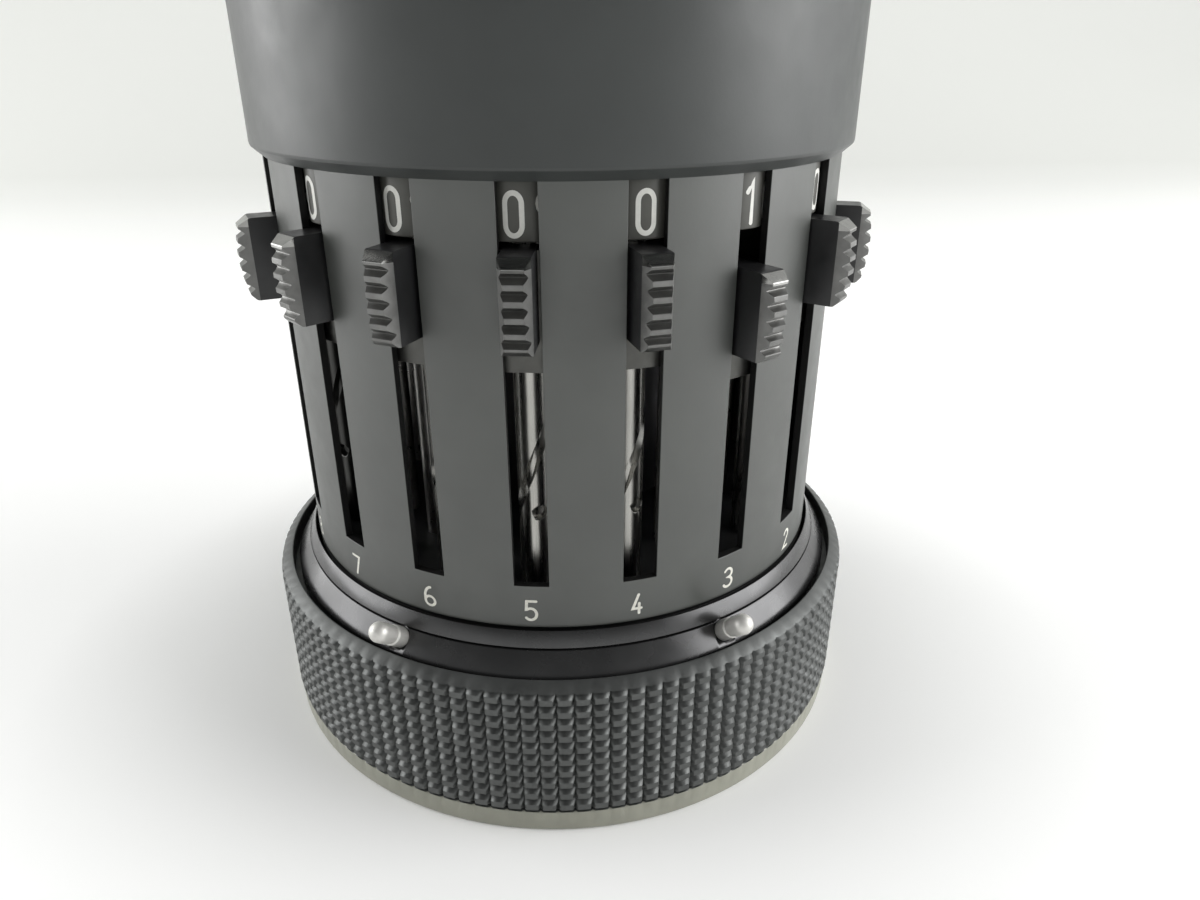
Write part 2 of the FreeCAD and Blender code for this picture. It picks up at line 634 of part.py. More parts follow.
def marker_ring():
    """Ring that turns round the bevelled ring, and the two domed pins that stand in it."""
    points = [
        ("stem_radius + close_fit", "marker_ring_bottom"),
        ("marker_foot_radius", "marker_ring_bottom"),
        ("marker_foot_radius", "marker_ring_bottom + marker_ring_rim"),
        ("bevel_edge_radius", "marker_ring_top"),
        ("stem_radius + close_fit", "marker_ring_top"),
    ]
    ring = turned_body("marker_ring_body", points)
    pins = []
    for name, angle in (("left", "marker_left"), ("right", "marker_right")):
        points = [
            ("0", "0 - marker_root"),
            ("marker_radius", "0 - marker_root"),
            ("marker_radius", "marker_length - marker_radius", "marker_radius"),
            ("0", "marker_length"),
        ]
        pin = turned_body("marker_pin_" + name, points)
        direction = compass(angle)
        x, y = on_circle("marker_seat_radius", direction)
        lean = "rotation(vector(0; 0; 1); %s) * rotation(vector(0; 1; 0); 90 - marker_tilt)" % direction
        place_by(pin, x, y, "marker_seat_height", lean)
        pins.append(pin)
    bore = cylinder("marker_ring_bore", "stem_radius + close_fit", "bevel_top")
    both = node(difference("trimmed_marker_pins", group("marker_pin_group", pins), bore), "marker_pins")
    return node(difference("drilled_marker_ring", ring, both), "marker_ring")


def setting_sleeve():
    """Thin sleeve with the eight setting slots; its body's +X side is the first slot."""
    points = [
        ("sleeve_bore", "sleeve_foot"),
        ("sleeve_radius", "sleeve_foot"),
        ("sleeve_radius", "sleeve_top"),
        ("sleeve_bore", "sleeve_top"),
    ]
    body = turned_body("setting_sleeve_body", points)
    sketch = sketch_on(body, "XY_Plane", "slot_bottom")
    box_outline(sketch, "sleeve_bore - overcut", "sleeve_radius + overcut", "slot_width / 2")
    slot = pad(body, sketch, "slot_top - slot_bottom", kind="Pocket", backwards=True)
    repeat(body, [slot], "slot_count", "(slot_count - 1) * slot_pitch")
    place(body, angle=compass(slot_angle(SLOTS)))
    return node(body, "setting_sleeve")


def collar():
    """Smooth collar; the reversing lever's slot is on its body's +X side, the back."""
    points = [
        ("sleeve_radius", "collar_bottom"),
        ("collar_radius", "collar_bottom + collar_chamfer"),
        ("collar_radius", "collar_top - collar_edge"),
        ("collar_radius - collar_edge", "collar_top"),
        ("sleeve_radius", "collar_top"),
    ]
    body = turned_body("collar_body", points)
    sketch = sketch_on(body, "XY_Plane", "collar_bottom + reverser_rise - reverser_gap")
    low = "sleeve_radius - overcut"
    box_outline(sketch, low, "collar_radius + overcut", "(reverser_neck / 2 + reverser_gap)")
    pad(body, sketch, "reverser_neck + reverser_travel + 2 * reverser_gap", kind="Pocket", backwards=True)
    place(body, angle="90")
    return node(body, "collar")


# Frame

def bearing_plate(label, low, thickness, radius, centre_hole, drill_from, pivot_hole=None):
    """Round plate with the transmission shafts' holes and, in two of them, the pivots' holes."""
    body = new_body(label + "_body")
    sketch = sketch_on(body, "XY_Plane", low)
    disc(sketch, radius)
    disc(sketch, centre_hole)
    pad(body, sketch, thickness)
    depth = "%s + %s - (%s)" % (low, thickness, drill_from)
    shaft_hole = "transmission_radius + close_fit"
    drill(body, drill_from, depth, shaft_hole, "transmission_circle", "360 / slot_pitch", "360")
    if pivot_hole:
        row = ("slot_count", "(slot_count - 1) * slot_pitch")
        drill(body, drill_from, depth, pivot_hole, "rod_circle", *row)
    place(body, angle=compass(slot_angle(SLOTS)))
    return node(body, label)


def guide_tube():
    """Tube that the carriage slides and turns on, with a head over the carriage spring."""
    points = [
        ("main_radius + close_fit", "top_plate_bottom"),
        ("guide_spigot", "top_plate_bottom"),
        ("guide_spigot", "top_plate_top"),
        ("guide_radius", "top_plate_top"),
        ("guide_radius", "guide_top"),
        ("guide_head", "guide_top"),
        ("guide_head", "guide_top + guide_head_height"),
        ("main_radius + close_fit", "guide_top + guide_head_height"),
    ]
    return node(turned_body("guide_tube_body", points), "guide_tube")


def frame_posts():
    """Three pillars under the lower plate and four posts in each storey above it, at the back."""
    posts = []
    for index in range(int(value("pillar_count"))):
        x, y = on_circle("pillar_circle", "%d * 360 / pillar_count" % index)
        length = "lower_plate_bottom - plate_thickness"
        outer = cylinder("pillar_%d" % index, "pillar_radius", length, x, y, "plate_thickness")
        depth = "screw_sink + screw_grip + main_foot_gap - plate_thickness"
        bore = cylinder("pillar_bore_%d" % index, "screw_radius", depth, x, y, "plate_thickness")
        posts.append(difference("bored_pillar_%d" % index, outer, bore))
    storeys = (("lower_plate_top", "upper_plate_bottom"), ("upper_plate_top", "top_plate_bottom"))
    for storey, (low, high) in enumerate(storeys):
        for index, (pair, side) in enumerate(((0, -1), (0, 1), (1, -1), (1, 1))):
            angle = "(%d * 2 + 1) * post_spread + %d * post_spacing" % (pair, side)
            x, y = on_circle("post_circle", angle)
            name = "post_%d_%d" % (storey, index)
            posts.append(cylinder(name, "post_radius", "%s - (%s)" % (high, low), x, y, low))
    return node(group("frame_post_group", posts), "frame_posts")


def transmission_shafts():
    """One upright shaft under each number dial, with the pinion that turns the dial."""
    shafts = []
    for index in range(int(value("dial_count"))):
        x, y = on_circle("transmission_circle", dial_angle(index))
        name = "transmission_%d" % index
        length = "transmission_top - pivot_foot"
        rod = cylinder(name + "_rod", "transmission_radius", length, x, y, "pivot_foot")
        low = "transmission_top - pinion_thickness"
        pinion = cylinder(name + "_pinion", "pinion_radius", "pinion_thickness", x, y, low)
        shafts.append(fused(name, [rod, pinion]))
    return node(group("transmission_shaft_group", shafts), "transmission_shafts")


def tens_carry_levers():
    """Upright flat levers that stand between the transmission shafts, round the tens bell."""
    levers = []
    for index in range(int(value("tens_lever_count"))):
        angle = "mod(tens_lever_start - %d * slot_pitch + 360; 360)" % index
        lever = doc.addObject("Part::Box", "tens_lever_%d" % index)
        lever.setExpression("Length", full("tens_lever_length"))
        lever.setExpression("Width", full("tens_lever_width"))
        lever.setExpression("Height", full("tens_lever_height"))
        x, y = on_circle("(transmission_circle + transmission_radius)", angle)
        x += " + tens_lever_width / 2 * sin(%s)" % angle
        y += " - tens_lever_width / 2 * cos(%s)" % angle
        place(lever, x, y, "upper_plate_top", angle)
        levers.append(lever)
    return node(group("tens_lever_group", levers), "tens_carry_levers")


# Setting slides and shafts

def slide(number):
    """Knob, slide and fork in one piece, with the gear that the fork moves.

    The body's +X side is the slot. Slide 3 stands one step down, at the figure 1.
    """
    body = new_body("slide_%d" % number)
    knob(body)
    block = sketch_on(body, "XY_Plane", "block_bottom")
    box_outline(block, "block_back", "block_front", "block_width / 2")
    pad(body, block, "block_top - block_bottom")
    bore = sketch_on(body, "XY_Plane", "block_bottom")
    disc(bore, "rod_radius + close_fit", "rod_circle")
    pad(body, bore, "block_top - block_bottom", kind="Pocket", backwards=True)
    pin = sketch_on(body, "YZ_Plane", "block_back")
    disc(pin, "drive_pin_radius", "0", "drive_pin_height")
    pad(body, pin, "rod_circle - rod_radius - block_back + helix_depth - close_fit")
    fork = sketch_on(body, "XY_Plane", "fork_height")
    inner_end = "transmission_circle - gear_hub"
    notch = "(gear_hub + close_fit)"
    outline(fork, [
        (inner_end, "0 - fork_half_width"),
        ("block_back + block_back_wall", "0 - fork_half_width"),
        ("block_back + block_back_wall", "fork_half_width"),
        (inner_end, "fork_half_width"),
        (inner_end, notch),
        ("transmission_circle + " + notch, notch),
        ("transmission_circle + " + notch, "0 - " + notch),
        (inner_end, "0 - " + notch),
    ])
    pad(body, fork, "fork_thickness")
    gear = sliding_gear(number)
    angle = compass(slot_angle(number))
    fall = "0 - step" if number == 3 else "0"
    place(body, z=fall, angle=angle)
    x, y = on_circle("transmission_circle", angle)
    place(gear, x, y, fall, angle)
    return node(group("slider_%d_group" % number, [body, gear]), "slider_%d" % number)


def knob(body):
    """The toothed knob, which starts inside the slide and reaches out through the slot."""
    crown = "(sleeve_radius + knob_reach)"
    root = "block_front - overcut"
    teeth = int(value("tooth_count"))
    points = [(root, "knob_foot"), (crown + " - tooth_crown - tooth_depth", "knob_foot")]
    for index in reversed(range(teeth)):
        tip = crown + " - tooth_crown * (2 * %d / (tooth_count - 1) - 1) ^ 2" % index
        height = "knob_top - knob_top_fall - %d * tooth_pitch" % index
        points.append((tip, height))
        if index:
            points.append((tip + " - tooth_depth", height + " + tooth_pitch / 2"))
    points += [(crown + " - tooth_crown - knob_top_cut", "knob_top"), (root, "knob_top")]
    profile = sketch_on(body, "XZ_Plane")
    outline(profile, points)
    pad(body, profile, "knob_width", both_ways=True)
    inner = crown + " - knob_bevel_depth"
    for side in ("", "0 - "):
        corner = sketch_on(body, "XY_Plane", "knob_foot - overcut")
        outline(corner, [
            (inner, side + "knob_width / 2"),
            (inner + " + 2 * knob_bevel_depth", side + "knob_width / 2"),
            (inner + " + 2 * knob_bevel_depth", side + "(knob_width / 2 - 2 * knob_bevel)"),
        ])
        pad(body, corner, "knob_height + 2 * overcut", kind="Pocket", backwards=True)


def sliding_gear(number):
    """Ten-tooth gear with a grooved hub, on its own axis; the fork holds it by the groove."""
    body = new_body("sliding_gear_%d" % number)
    groove_foot = "fork_height - close_fit"
    points = [
        ("transmission_radius + close_fit", groove_foot + " - flange_thickness"),
        ("gear_flange", groove_foot + " - flange_thickness"),
        ("gear_flange", groove_foot),
        ("gear_hub", groove_foot),
        ("gear_hub", "gear_low"),
        ("gear_root", "gear_low"),
        ("gear_root", "gear_low + gear_thickness"),
        ("transmission_radius + close_fit", "gear_low + gear_thickness"),
    ]
    sketch = sketch_on(body, "XZ_Plane")
    outline(sketch, points)
    turn(body, sketch)
    tooth = sketch_on(body, "XY_Plane", "gear_low")
    outline(tooth, [
        ("gear_hub", "0 - gear_foot_width / 2"),
        ("gear_root", "0 - gear_foot_width / 2"),
        ("gear_radius", "0 - gear_tip_width / 2"),
        ("gear_radius", "gear_tip_width / 2"),
        ("gear_root", "gear_foot_width / 2"),
        ("gear_hub", "gear_foot_width / 2"),
    ])
    raised = pad(body, tooth, "gear_thickness")
    repeat(body, [raised], "gear_teeth", "360")
    return body


def setting_shaft(number):
    """Shaft with the helical groove that the slide's pin turns, and its digit drum."""
    points = [
        ("0", "pivot_foot + close_fit"),
        ("rod_pivot", "pivot_foot + close_fit"),
        ("rod_pivot", "lower_plate_top + axial_play"),
        ("rod_radius", "lower_plate_top + axial_play"),
        ("rod_radius", "drum_bottom"),
        ("drum_radius", "drum_bottom"),
        ("drum_radius", "drum_top"),
        ("rod_pivot", "drum_top"),
        ("rod_pivot", "upper_plate_top - axial_play"),
        ("0", "upper_plate_top - axial_play"),
    ]
    body = turned_body("setting_shaft_%d_body" % number, points)
    run = "(step * (digits - 1) + 2 * helix_run_out)"
    start = "(drive_pin_height - step * (digits - 1) - helix_run_out - helix_height / 2)"
    section = sketch_on(body, "XZ_Plane")
    outline(section, [
        ("rod_radius - helix_depth", start),
        ("rod_radius + helix_depth", start),
        ("rod_radius + helix_depth", start + " + helix_height"),
        ("rod_radius - helix_depth", start + " + helix_height"),
    ])
    groove = feature(body, "SubtractiveHelix", section)
    groove.ReferenceAxis = (section, ["V_Axis"])
    groove.setExpression("Pitch", full("step * digits"))
    groove.setExpression("Height", full(run))
    back = "180"
    shown = "360 / digits" if number == 3 else "0"
    lead_in = "(digits - 1 + helix_run_out / step) * 360 / digits"
    own_turn = "mod(%s + %s + %s - %s + 720; 360)" % (compass(slot_angle(number)), back, shown, lead_in)
    x, y = on_circle("rod_circle", compass(slot_angle(number)))
    place(body, x, y, angle=own_turn)
    return node(body, "setting_shaft_%d" % number)


# Drive

def main_shaft():
    points = [
        ("0", "plate_thickness + main_foot_gap"),
        ("main_radius - main_edge", "plate_thickness + main_foot_gap"),
        ("main_radius", "plate_thickness + main_foot_gap + main_edge"),
        ("main_radius", "main_top"),
        ("0", "main_top"),
    ]
    return node(turned_body("main_shaft_body", points), "main_shaft")


def stepped_drum():
    """Drum whose rows hold from one to nine teeth, and between them the complement rows.

    A tooth of row n stands at each of the first n places round the drum, and a tooth of
    complement row n at each of the first nine less n.
    """
    body = new_body("stepped_drum_body")
    low = "(gear_middle - (digits - 1 + lift_steps) * step - gear_thickness)"
    core = sketch_on(body, "XY_Plane", low)
    disc(core, "step_drum_core")
    disc(core, "main_radius")
    pad(body, core, "(gear_middle + gear_thickness) - %s" % low)
    last = int(value("digits")) - 1
    for place_round in range(last):
        falls = ["%d * step" % digit for digit in range(place_round + 1, last + 1)]
        falls += ["(%d + lift_steps) * step" % digit for digit in range(last - place_round)]
        sketch = sketch_on(body, "XZ_Plane")
        sketch.AttachmentOffset = FreeCAD.Placement(V(), FreeCAD.Rotation(V(0, 1, 0), 1))
        sketch.setExpression("AttachmentOffset.Rotation.Angle", full("%d * step_tooth_pitch" % place_round))
        for fall in falls:
            middle = "gear_middle - %s" % fall
            outline(sketch, [
                ("step_drum_core - close_fit", middle + " - gear_thickness / 2"),
                ("step_drum_tip", middle + " - gear_thickness / 2"),
                ("step_drum_tip", middle + " + gear_thickness / 2"),
                ("step_drum_core - close_fit", middle + " + gear_thickness / 2"),
            ])
        teeth = pad(body, sketch, "step_tooth_width", both_ways=True)
        teeth.Refine = False
    place(body, angle="step_tooth_start")
    return node(body, "stepped_drum")


def tens_bell():
    low = "(upper_plate_top + bell_gap)"
    points = [
        ("main_radius", low + " + bell_height - bell_wall"),
        ("bell_radius - bell_wall", low + " + bell_height - bell_wall"),
        ("bell_radius - bell_wall", low),
        ("bell_radius", low),
        ("bell_radius", low + " + bell_height"),
        ("main_radius", low + " + bell_height"),
    ]
    return node(turned_body("tens_bell_body", points), "tens_bell")


def ratchet_wheel():
    """Saw-toothed wheel that keeps the crank from turning back."""
    body = new_body("ratchet_wheel_body")
    low = "plate_thickness + ratchet_height"
    sketch = sketch_on(body, "XY_Plane", low)
    disc(sketch, "ratchet_radius")
    disc(sketch, "main_radius + close_fit")
    pad(body, sketch, "ratchet_thickness")
    notch = sketch_on(body, "XY_Plane", low)
    outline(notch, [
        ("ratchet_radius - ratchet_depth", "0"),
        ("ratchet_radius + overcut", "0"),
        ("ratchet_radius + overcut", "ratchet_run"),
    ])
    cut = pad(body, notch, "ratchet_thickness", kind="Pocket", backwards=True)
    repeat(body, [cut], "ratchet_teeth", "360")
    return node(body, "ratchet_wheel")


def crank_arm():
    """Hub, arm and the pin of the knob, which points along the body's +X side."""
    points = [
        ("main_radius", "crank_boss_bottom"),
        ("crank_foot", "crank_boss_bottom"),
        ("crank_foot", "crank_hub_bottom"),
        ("crank_hub", "crank_hub_bottom"),
        ("crank_hub", "arm_top - crank_edge"),
        ("crank_hub - crank_edge", "arm_top"),
        ("0", "arm_top"),
        ("0", "main_top"),
        ("main_radius", "main_top"),
    ]
    body = turned_body("crank_arm_body", points)
    arm = sketch_on(body, "XY_Plane", "arm_bottom")
    outline(arm, [
        ("crank_hub / 2", "0 - arm_root"),
        ("arm_reach", "0 - arm_tip", "arm_tip"),
        ("arm_reach + arm_tip", "0", "arm_tip"),
        ("arm_reach", "arm_tip"),
        ("crank_hub / 2", "arm_root"),
    ])
    pad(body, arm, "arm_thickness - arm_drop")
    pin = sketch_on(body, "XY_Plane", "arm_bottom")
    disc(pin, "knob_pin", "arm_reach")
    pad(body, pin, "grip_bottom + grip_pin - arm_bottom")
    place(body, angle="crank_angle")
    return node(body, "crank_arm")


def crank_knob():
    points = [
        ("knob_pin + close_fit", "grip_bottom"),
        ("grip_foot - grip_edge", "grip_bottom"),
        ("grip_foot", "grip_bottom + grip_edge"),
        ("grip_foot", "grip_bottom + grip_bead"),
        ("grip_waist", "grip_bottom + grip_neck", "-grip_curve"),
        ("grip_crown", "grip_top - grip_crown", "grip_crown"),
        ("0", "grip_top"),
        ("0", "grip_bottom + grip_pin + close_fit"),
        ("knob_pin + close_fit", "grip_bottom + grip_pin + close_fit"),
    ]
    body = turned_body("crank_knob_body", points)
    x, y = on_circle("arm_reach", "crank_angle")
    place(body, x, y)
    return node(body, "crank_knob")


# Carriage

def dial_angle(index):
    """Angle from +X of a dial; the first stands at the back left, one place is empty."""
    return "mod(dial_start + %d * slot_pitch; 360)" % index


def along(distance, across):
    """Radius and height of a place given along a dial's axis and across it, upwards."""
    radius = "dial_circle + (%s) * cos(bevel_tilt) + (%s) * sin(bevel_tilt)" % (distance, across)
    height = "dial_height - (%s) * sin(bevel_tilt) + (%s) * cos(bevel_tilt)" % (distance, across)
    return radius, height


def carriage_shell():
    """Carriage housing with its hub; the first dial window is on the body's +X side."""
    skin_low = "bevel_low + (carriage_radius - carriage_bore) * tan(bevel_tilt) - skin_fall"
    skin_top_radius = "carriage_radius - (flat_under - bevel_low + skin_fall) / tan(bevel_tilt)"
    points = [
        ("carriage_bore", "carriage_bottom"),
        ("carriage_radius - carriage_edge", "carriage_bottom"),
        ("carriage_radius", "carriage_bottom + carriage_edge"),
        ("carriage_radius", "carriage_bottom + band_height"),
        ("carriage_radius - track_depth", "carriage_bottom + band_height + track_height / 4"),
        ("carriage_radius - track_depth", "carriage_bottom + band_height + track_height * 3 / 4"),
        ("carriage_radius", "carriage_bottom + band_height + track_height"),
        ("carriage_radius", "bevel_low"),
        ("flat_radius", "flat_top"),
        ("boss_radius", "flat_top"),
        ("boss_radius", "boss_top"),
        ("boss_radius - boss_wall", "boss_top"),
        ("boss_radius - boss_wall", "flat_under"),
        ("spring_bore", "flat_under"),
        ("spring_bore", "hub_bottom + hub_lip"),
        ("guide_radius + close_fit", "hub_bottom + hub_lip"),
        ("guide_radius + close_fit", "hub_bottom"),
        ("hub_radius", "hub_bottom"),
        ("hub_radius", "flat_under - flat_thickness"),
        (skin_top_radius + " + flat_thickness / tan(bevel_tilt)", "flat_under - flat_thickness"),
        ("carriage_bore", skin_low),
    ]
    body = turned_body("carriage_shell_body", points)
    sketch = sketch_on(body, "XY_Plane", "dial_height")
    low = "window_radius - window_length / 2"
    high = "window_radius + window_length / 2"
    box_outline(sketch, low, high, "window_width / 2")
    window = pad(body, sketch, "flat_top - dial_height", kind="Pocket", backwards=True)
    repeat(body, [window], "dial_count", "(dial_count - 1) * slot_pitch")
    place(body, angle=dial_angle(0))
    return node(body, "carriage_shell")


def dial_frame():
    """Conical ring that carries the dials' axles, with a shelf out to the shell."""
    near_foot = along("frame_near", "0 - dial_radius")
    far_foot = along("frame_far", "0 - dial_radius")
    shelf = "(%s) - frame_thickness" % far_foot[1]
    points = [
        near_foot,
        (near_foot[0], shelf),
        ("carriage_bore", shelf),
        ("carriage_bore", far_foot[1]),
        far_foot,
        along("frame_far", "dial_radius"),
        along("frame_near", "dial_radius"),
    ]
    body = turned_body("dial_frame_body", points)
    bore = sketch_on(body, "XZ_Plane")
    near = "frame_near - overcut"
    far = "frame_far + overcut"
    clear = "axle_radius + close_fit"
    outline(bore, [along(near, "0"), along(far, "0"), along(far, clear), along(near, clear)])
    ends = [V(*(value(size) for size in along(reach, "0")), 0) for reach in (near, far)]
    axis = bore.addGeometry(Part.LineSegment(*ends), True)
    for corner, reach in ((1, near), (2, far)):
        hold(bore, axis, corner, along(reach, "0")[0], "DistanceX", -2)
        hold(bore, axis, corner, along(reach, "0")[1], "DistanceY", -1)
    hole = feature(body, "Groove", bore)
    hole.ReferenceAxis = (bore, ["Axis0"])
    hole.Angle = 360
    repeat(body, [hole], "dial_count", "(dial_count - 1) * slot_pitch")
    place(body, angle=dial_angle(0))
    return node(body, "dial_frame")


def number_dial(index, label):
    """Ten-figure dial with its axle and the wheel at its inner end."""
    points = [
        ("0", "0 - axle_start"),
        ("axle_radius", "0 - axle_start"),
        ("axle_radius", "0 - wheel_inner"),
        ("wheel_radius", "0 - wheel_inner"),
        ("wheel_radius", "0 - wheel_outer"),
        ("axle_neck", "0 - wheel_outer"),
        ("axle_neck", "0 - dial_width / 2"),
        ("dial_radius", "0 - dial_width / 2"),
        ("dial_radius", "dial_width / 2"),
        ("axle_radius", "dial_width / 2"),
        ("axle_radius", "frame_far"),
        ("0", "frame_far"),
    ]
    body = turned_body(label + "_body", points)
    direction = dial_angle(index)
    x, y = on_circle("dial_circle", direction)
    lean = "rotation(vector(0; 0; 1); %s) * rotation(vector(0; 1; 0); 90 + bevel_tilt)" % direction
    place_by(body, x, y, "dial_height", lean)
    return node(body, label)


def carriage_spring():
    """Spring round the guide tube that presses the carriage down."""
    body = new_body("carriage_spring_body")
    sketch = sketch_on(body, "XZ_Plane")
    low = "(hub_bottom + hub_lip + spring_wire + close_fit)"
    disc(sketch, "spring_wire", "spring_radius", low)
    coil = feature(body, "AdditiveHelix", sketch)
    coil.ReferenceAxis = (sketch, ["V_Axis"])
    height = "(guide_top - spring_wire - close_fit - %s)" % low
    coil.setExpression("Height", full(height))
    coil.setExpression("Pitch", full(height + " / spring_turns"))
    return node(body, "carriage_spring")


def clearing_lever():
    """Disc round the carriage's boss with a forked arm for the finger ring."""
    body = new_body("clearing_lever_body")
    rim = sketch_on(body, "XY_Plane", "lever_bottom")
    disc(rim, "lever_rim")
    disc(rim, "boss_radius + close_fit")
    pad(body, rim, "lever_thickness")
    arm = sketch_on(body, "XY_Plane", "lever_bottom")
    box_outline(arm, "boss_radius + overcut", "lever_reach", "lever_width / 2")
    pad(body, arm, "lever_thickness")
    fork = sketch_on(body, "XY_Plane", "lever_bottom")
    notch = "(tongue_width / 2 + tongue_gap)"
    box_outline(fork, "hinge_reach - hinge_notch", "lever_reach + overcut", notch)
    pad(body, fork, "lever_thickness", kind="Pocket", backwards=True)
    pin = sketch_on(body, "XZ_Plane")
    disc(pin, "hinge_pin", "hinge_reach", "lever_bottom + lever_thickness / 2")
    pad(body, pin, "lever_width", both_ways=True)
    place(body, angle="lever_angle")
    return node(body, "clearing_lever")


def finger_ring():
    body = new_body("finger_ring_body")
    plate = sketch_on(body, "XY_Plane", "lever_bottom + close_fit")
    disc(plate, "finger_ring_radius", "finger_ring_reach")
    disc(plate, "finger_hole", "finger_ring_reach")
    pad(body, plate, "lever_thickness - 2 * close_fit")
    tongue = sketch_on(body, "XY_Plane", "lever_bottom + close_fit")
    end = "finger_ring_reach - (finger_ring_radius + finger_hole) / 2"
    box_outline(tongue, "hinge_reach - tongue_end", end, "tongue_width / 2")
    pad(body, tongue, "lever_thickness - 2 * close_fit")
    bore = sketch_on(body, "XZ_Plane")
    disc(bore, "hinge_pin + close_fit", "hinge_reach", "lever_bottom + lever_thickness / 2")
    pad(body, bore, "lever_width", both_ways=True, kind="Pocket")
    place(body, angle="lever_angle")
    return node(body, "finger_ring")


def reversing_lever():
    """Button on the collar's back with a neck through its slot."""
    body = new_body("reversing_lever_body")
    neck = sketch_on(body, "XY_Plane", "collar_bottom + reverser_rise")
    button_inner = "collar_radius + reverser_gap"
    box_outline(neck, "sleeve_radius - reverser_root", button_inner, "reverser_neck / 2")
    pad(body, neck, "reverser_neck")
    low = "collar_bottom + reverser_rise + reverser_neck / 2 - reverser_height / 2"
    button = sketch_on(body, "XY_Plane", low)
    box_outline(button, button_inner, "collar_radius + reverser_reach", "reverser_width / 2")
    pad(body, button, "reverser_height")
    place(body, angle="90")
    return node(body, "reversing_lever")


def build():
    base_cup()
    base_plate()
    base_screws()
    bevel_ring()
    marker_ring()
    setting_sleeve()
    collar()
    shaft = "main_radius + close_fit"
    pivot = "rod_pivot + close_fit"
    lower = ("lower_plate_bottom", "lower_plate_thickness", "sleeve_bore", shaft, "pivot_foot", pivot)
    bearing_plate("lower_bearing_plate", *lower)
    low = "upper_plate_bottom"
    bearing_plate("upper_bearing_plate", low, "upper_plate_thickness", "sleeve_bore", shaft, low, pivot)
    low = "top_plate_bottom"
    bearing_plate("top_bearing_plate", low, "top_plate_thickness", "sleeve_radius", "guide_spigot", low)
    guide_tube()
    frame_posts()
    transmission_shafts()
    tens_carry_levers()
    for number in range(1, SLOTS + 1):
        slide(number)
        setting_shaft(number)
    main_shaft()
    stepped_drum()
    tens_bell()
    ratchet_wheel()
    crank_arm()
    crank_knob()
    carriage_shell()
    dial_frame()
    carriage_spring()
    dials = ["result_dial_%d" % number for number in range(11, 0, -1)]
    dials += ["counter_dial_%d" % number for number in range(1, 7)]
    for index, label in enumerate(dials):
        number_dial(index, label)
    clearing_lever()
    finger_ring()
    reversing_lever()


def check():
    """Stops if any object failed or any piece has no sound solid."""
    faults = []
    for thing in doc.Objects:
        if "Invalid" in thing.State or "Error" in thing.State:
            faults.append("%s %s" % (thing.Name, thing.State))
    for piece in nodes:
        shape = piece.Shape
        if shape.isNull() or not shape.isValid() or not shape.Solids:
            faults.append(piece.Label + " has no valid solid")
    if faults:
        raise RuntimeError("; ".join(faults))


def export():
    os.makedirs("parts", exist_ok=True)
    for piece in nodes:
        piece.Shape.exportStep("parts/%s.step" % piece.Label)
        box = piece.Shape.BoundBox
        facts = (piece.Label, len(piece.Shape.Solids), piece.Shape.Volume, box.ZMin, box.ZMax, box.XLength / 2)
        print("%s: %d solid(s), %.2f mm3, z %.2f to %.2f, half width %.2f" % facts)


build()
doc.recompute()
check()
export()
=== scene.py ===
import math

import bmesh
import bpy
from mathutils import Matrix, Vector
from mathutils.geometry import tessellate_polygon


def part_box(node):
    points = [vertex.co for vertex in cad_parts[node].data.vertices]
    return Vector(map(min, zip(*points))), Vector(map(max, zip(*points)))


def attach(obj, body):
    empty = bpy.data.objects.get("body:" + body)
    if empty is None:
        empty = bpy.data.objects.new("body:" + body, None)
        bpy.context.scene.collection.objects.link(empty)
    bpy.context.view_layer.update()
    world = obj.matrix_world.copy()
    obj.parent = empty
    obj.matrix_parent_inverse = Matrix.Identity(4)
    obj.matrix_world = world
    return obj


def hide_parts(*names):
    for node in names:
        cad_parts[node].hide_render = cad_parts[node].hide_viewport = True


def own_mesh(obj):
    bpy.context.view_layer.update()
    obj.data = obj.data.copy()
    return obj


# Looks of the pocket calculator. Lengths in this script are millimetres in the frame's axes,
# and a mesh gets metres when it is made. Angles are degrees from +X; the front is at 270.

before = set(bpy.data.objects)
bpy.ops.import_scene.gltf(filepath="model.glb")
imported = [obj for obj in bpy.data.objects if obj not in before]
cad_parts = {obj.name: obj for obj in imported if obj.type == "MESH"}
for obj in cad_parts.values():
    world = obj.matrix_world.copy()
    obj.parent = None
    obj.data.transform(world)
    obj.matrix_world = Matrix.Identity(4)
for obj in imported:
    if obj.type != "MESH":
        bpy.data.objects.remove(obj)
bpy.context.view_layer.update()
MM = 0.001
FRONT = 270.0
# Heights are counted from a line this far above the floor, so that the sleeve's foot is at 10.2
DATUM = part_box("setting_sleeve")[0][2] / MM - 10.2
SLEEVE_RADIUS = 22.735
SLEEVE_BORE = 22.135
SLOT_STEP = 20
SHAFT_CIRCLE = 19.1
GEAR_CIRCLE = 14.9
SETTING_STEP = 1.95
DIGIT_STEP = 36.0
# Slot 3 is at setting 1 in the photograph, and slide 2 stands a little high
SHOWN_RISE = {2: 0.2, 3: -SETTING_STEP}
CRANK_DIRECTION = 345
CRANK_REACH = 18.8
LEVER_DIRECTION = 130


def turn(angle, axis="Z"):
    return Matrix.Rotation(math.radians(angle), 4, axis)


def move(x, y, z):
    return Matrix.Translation((x, y, z))


def polar(radius, angle, height=0.0):
    a = math.radians(angle)
    return Vector((radius * math.cos(a), radius * math.sin(a), height))


def slot_direction(number):
    return FRONT + (4.5 - number) * SLOT_STEP


# Materials

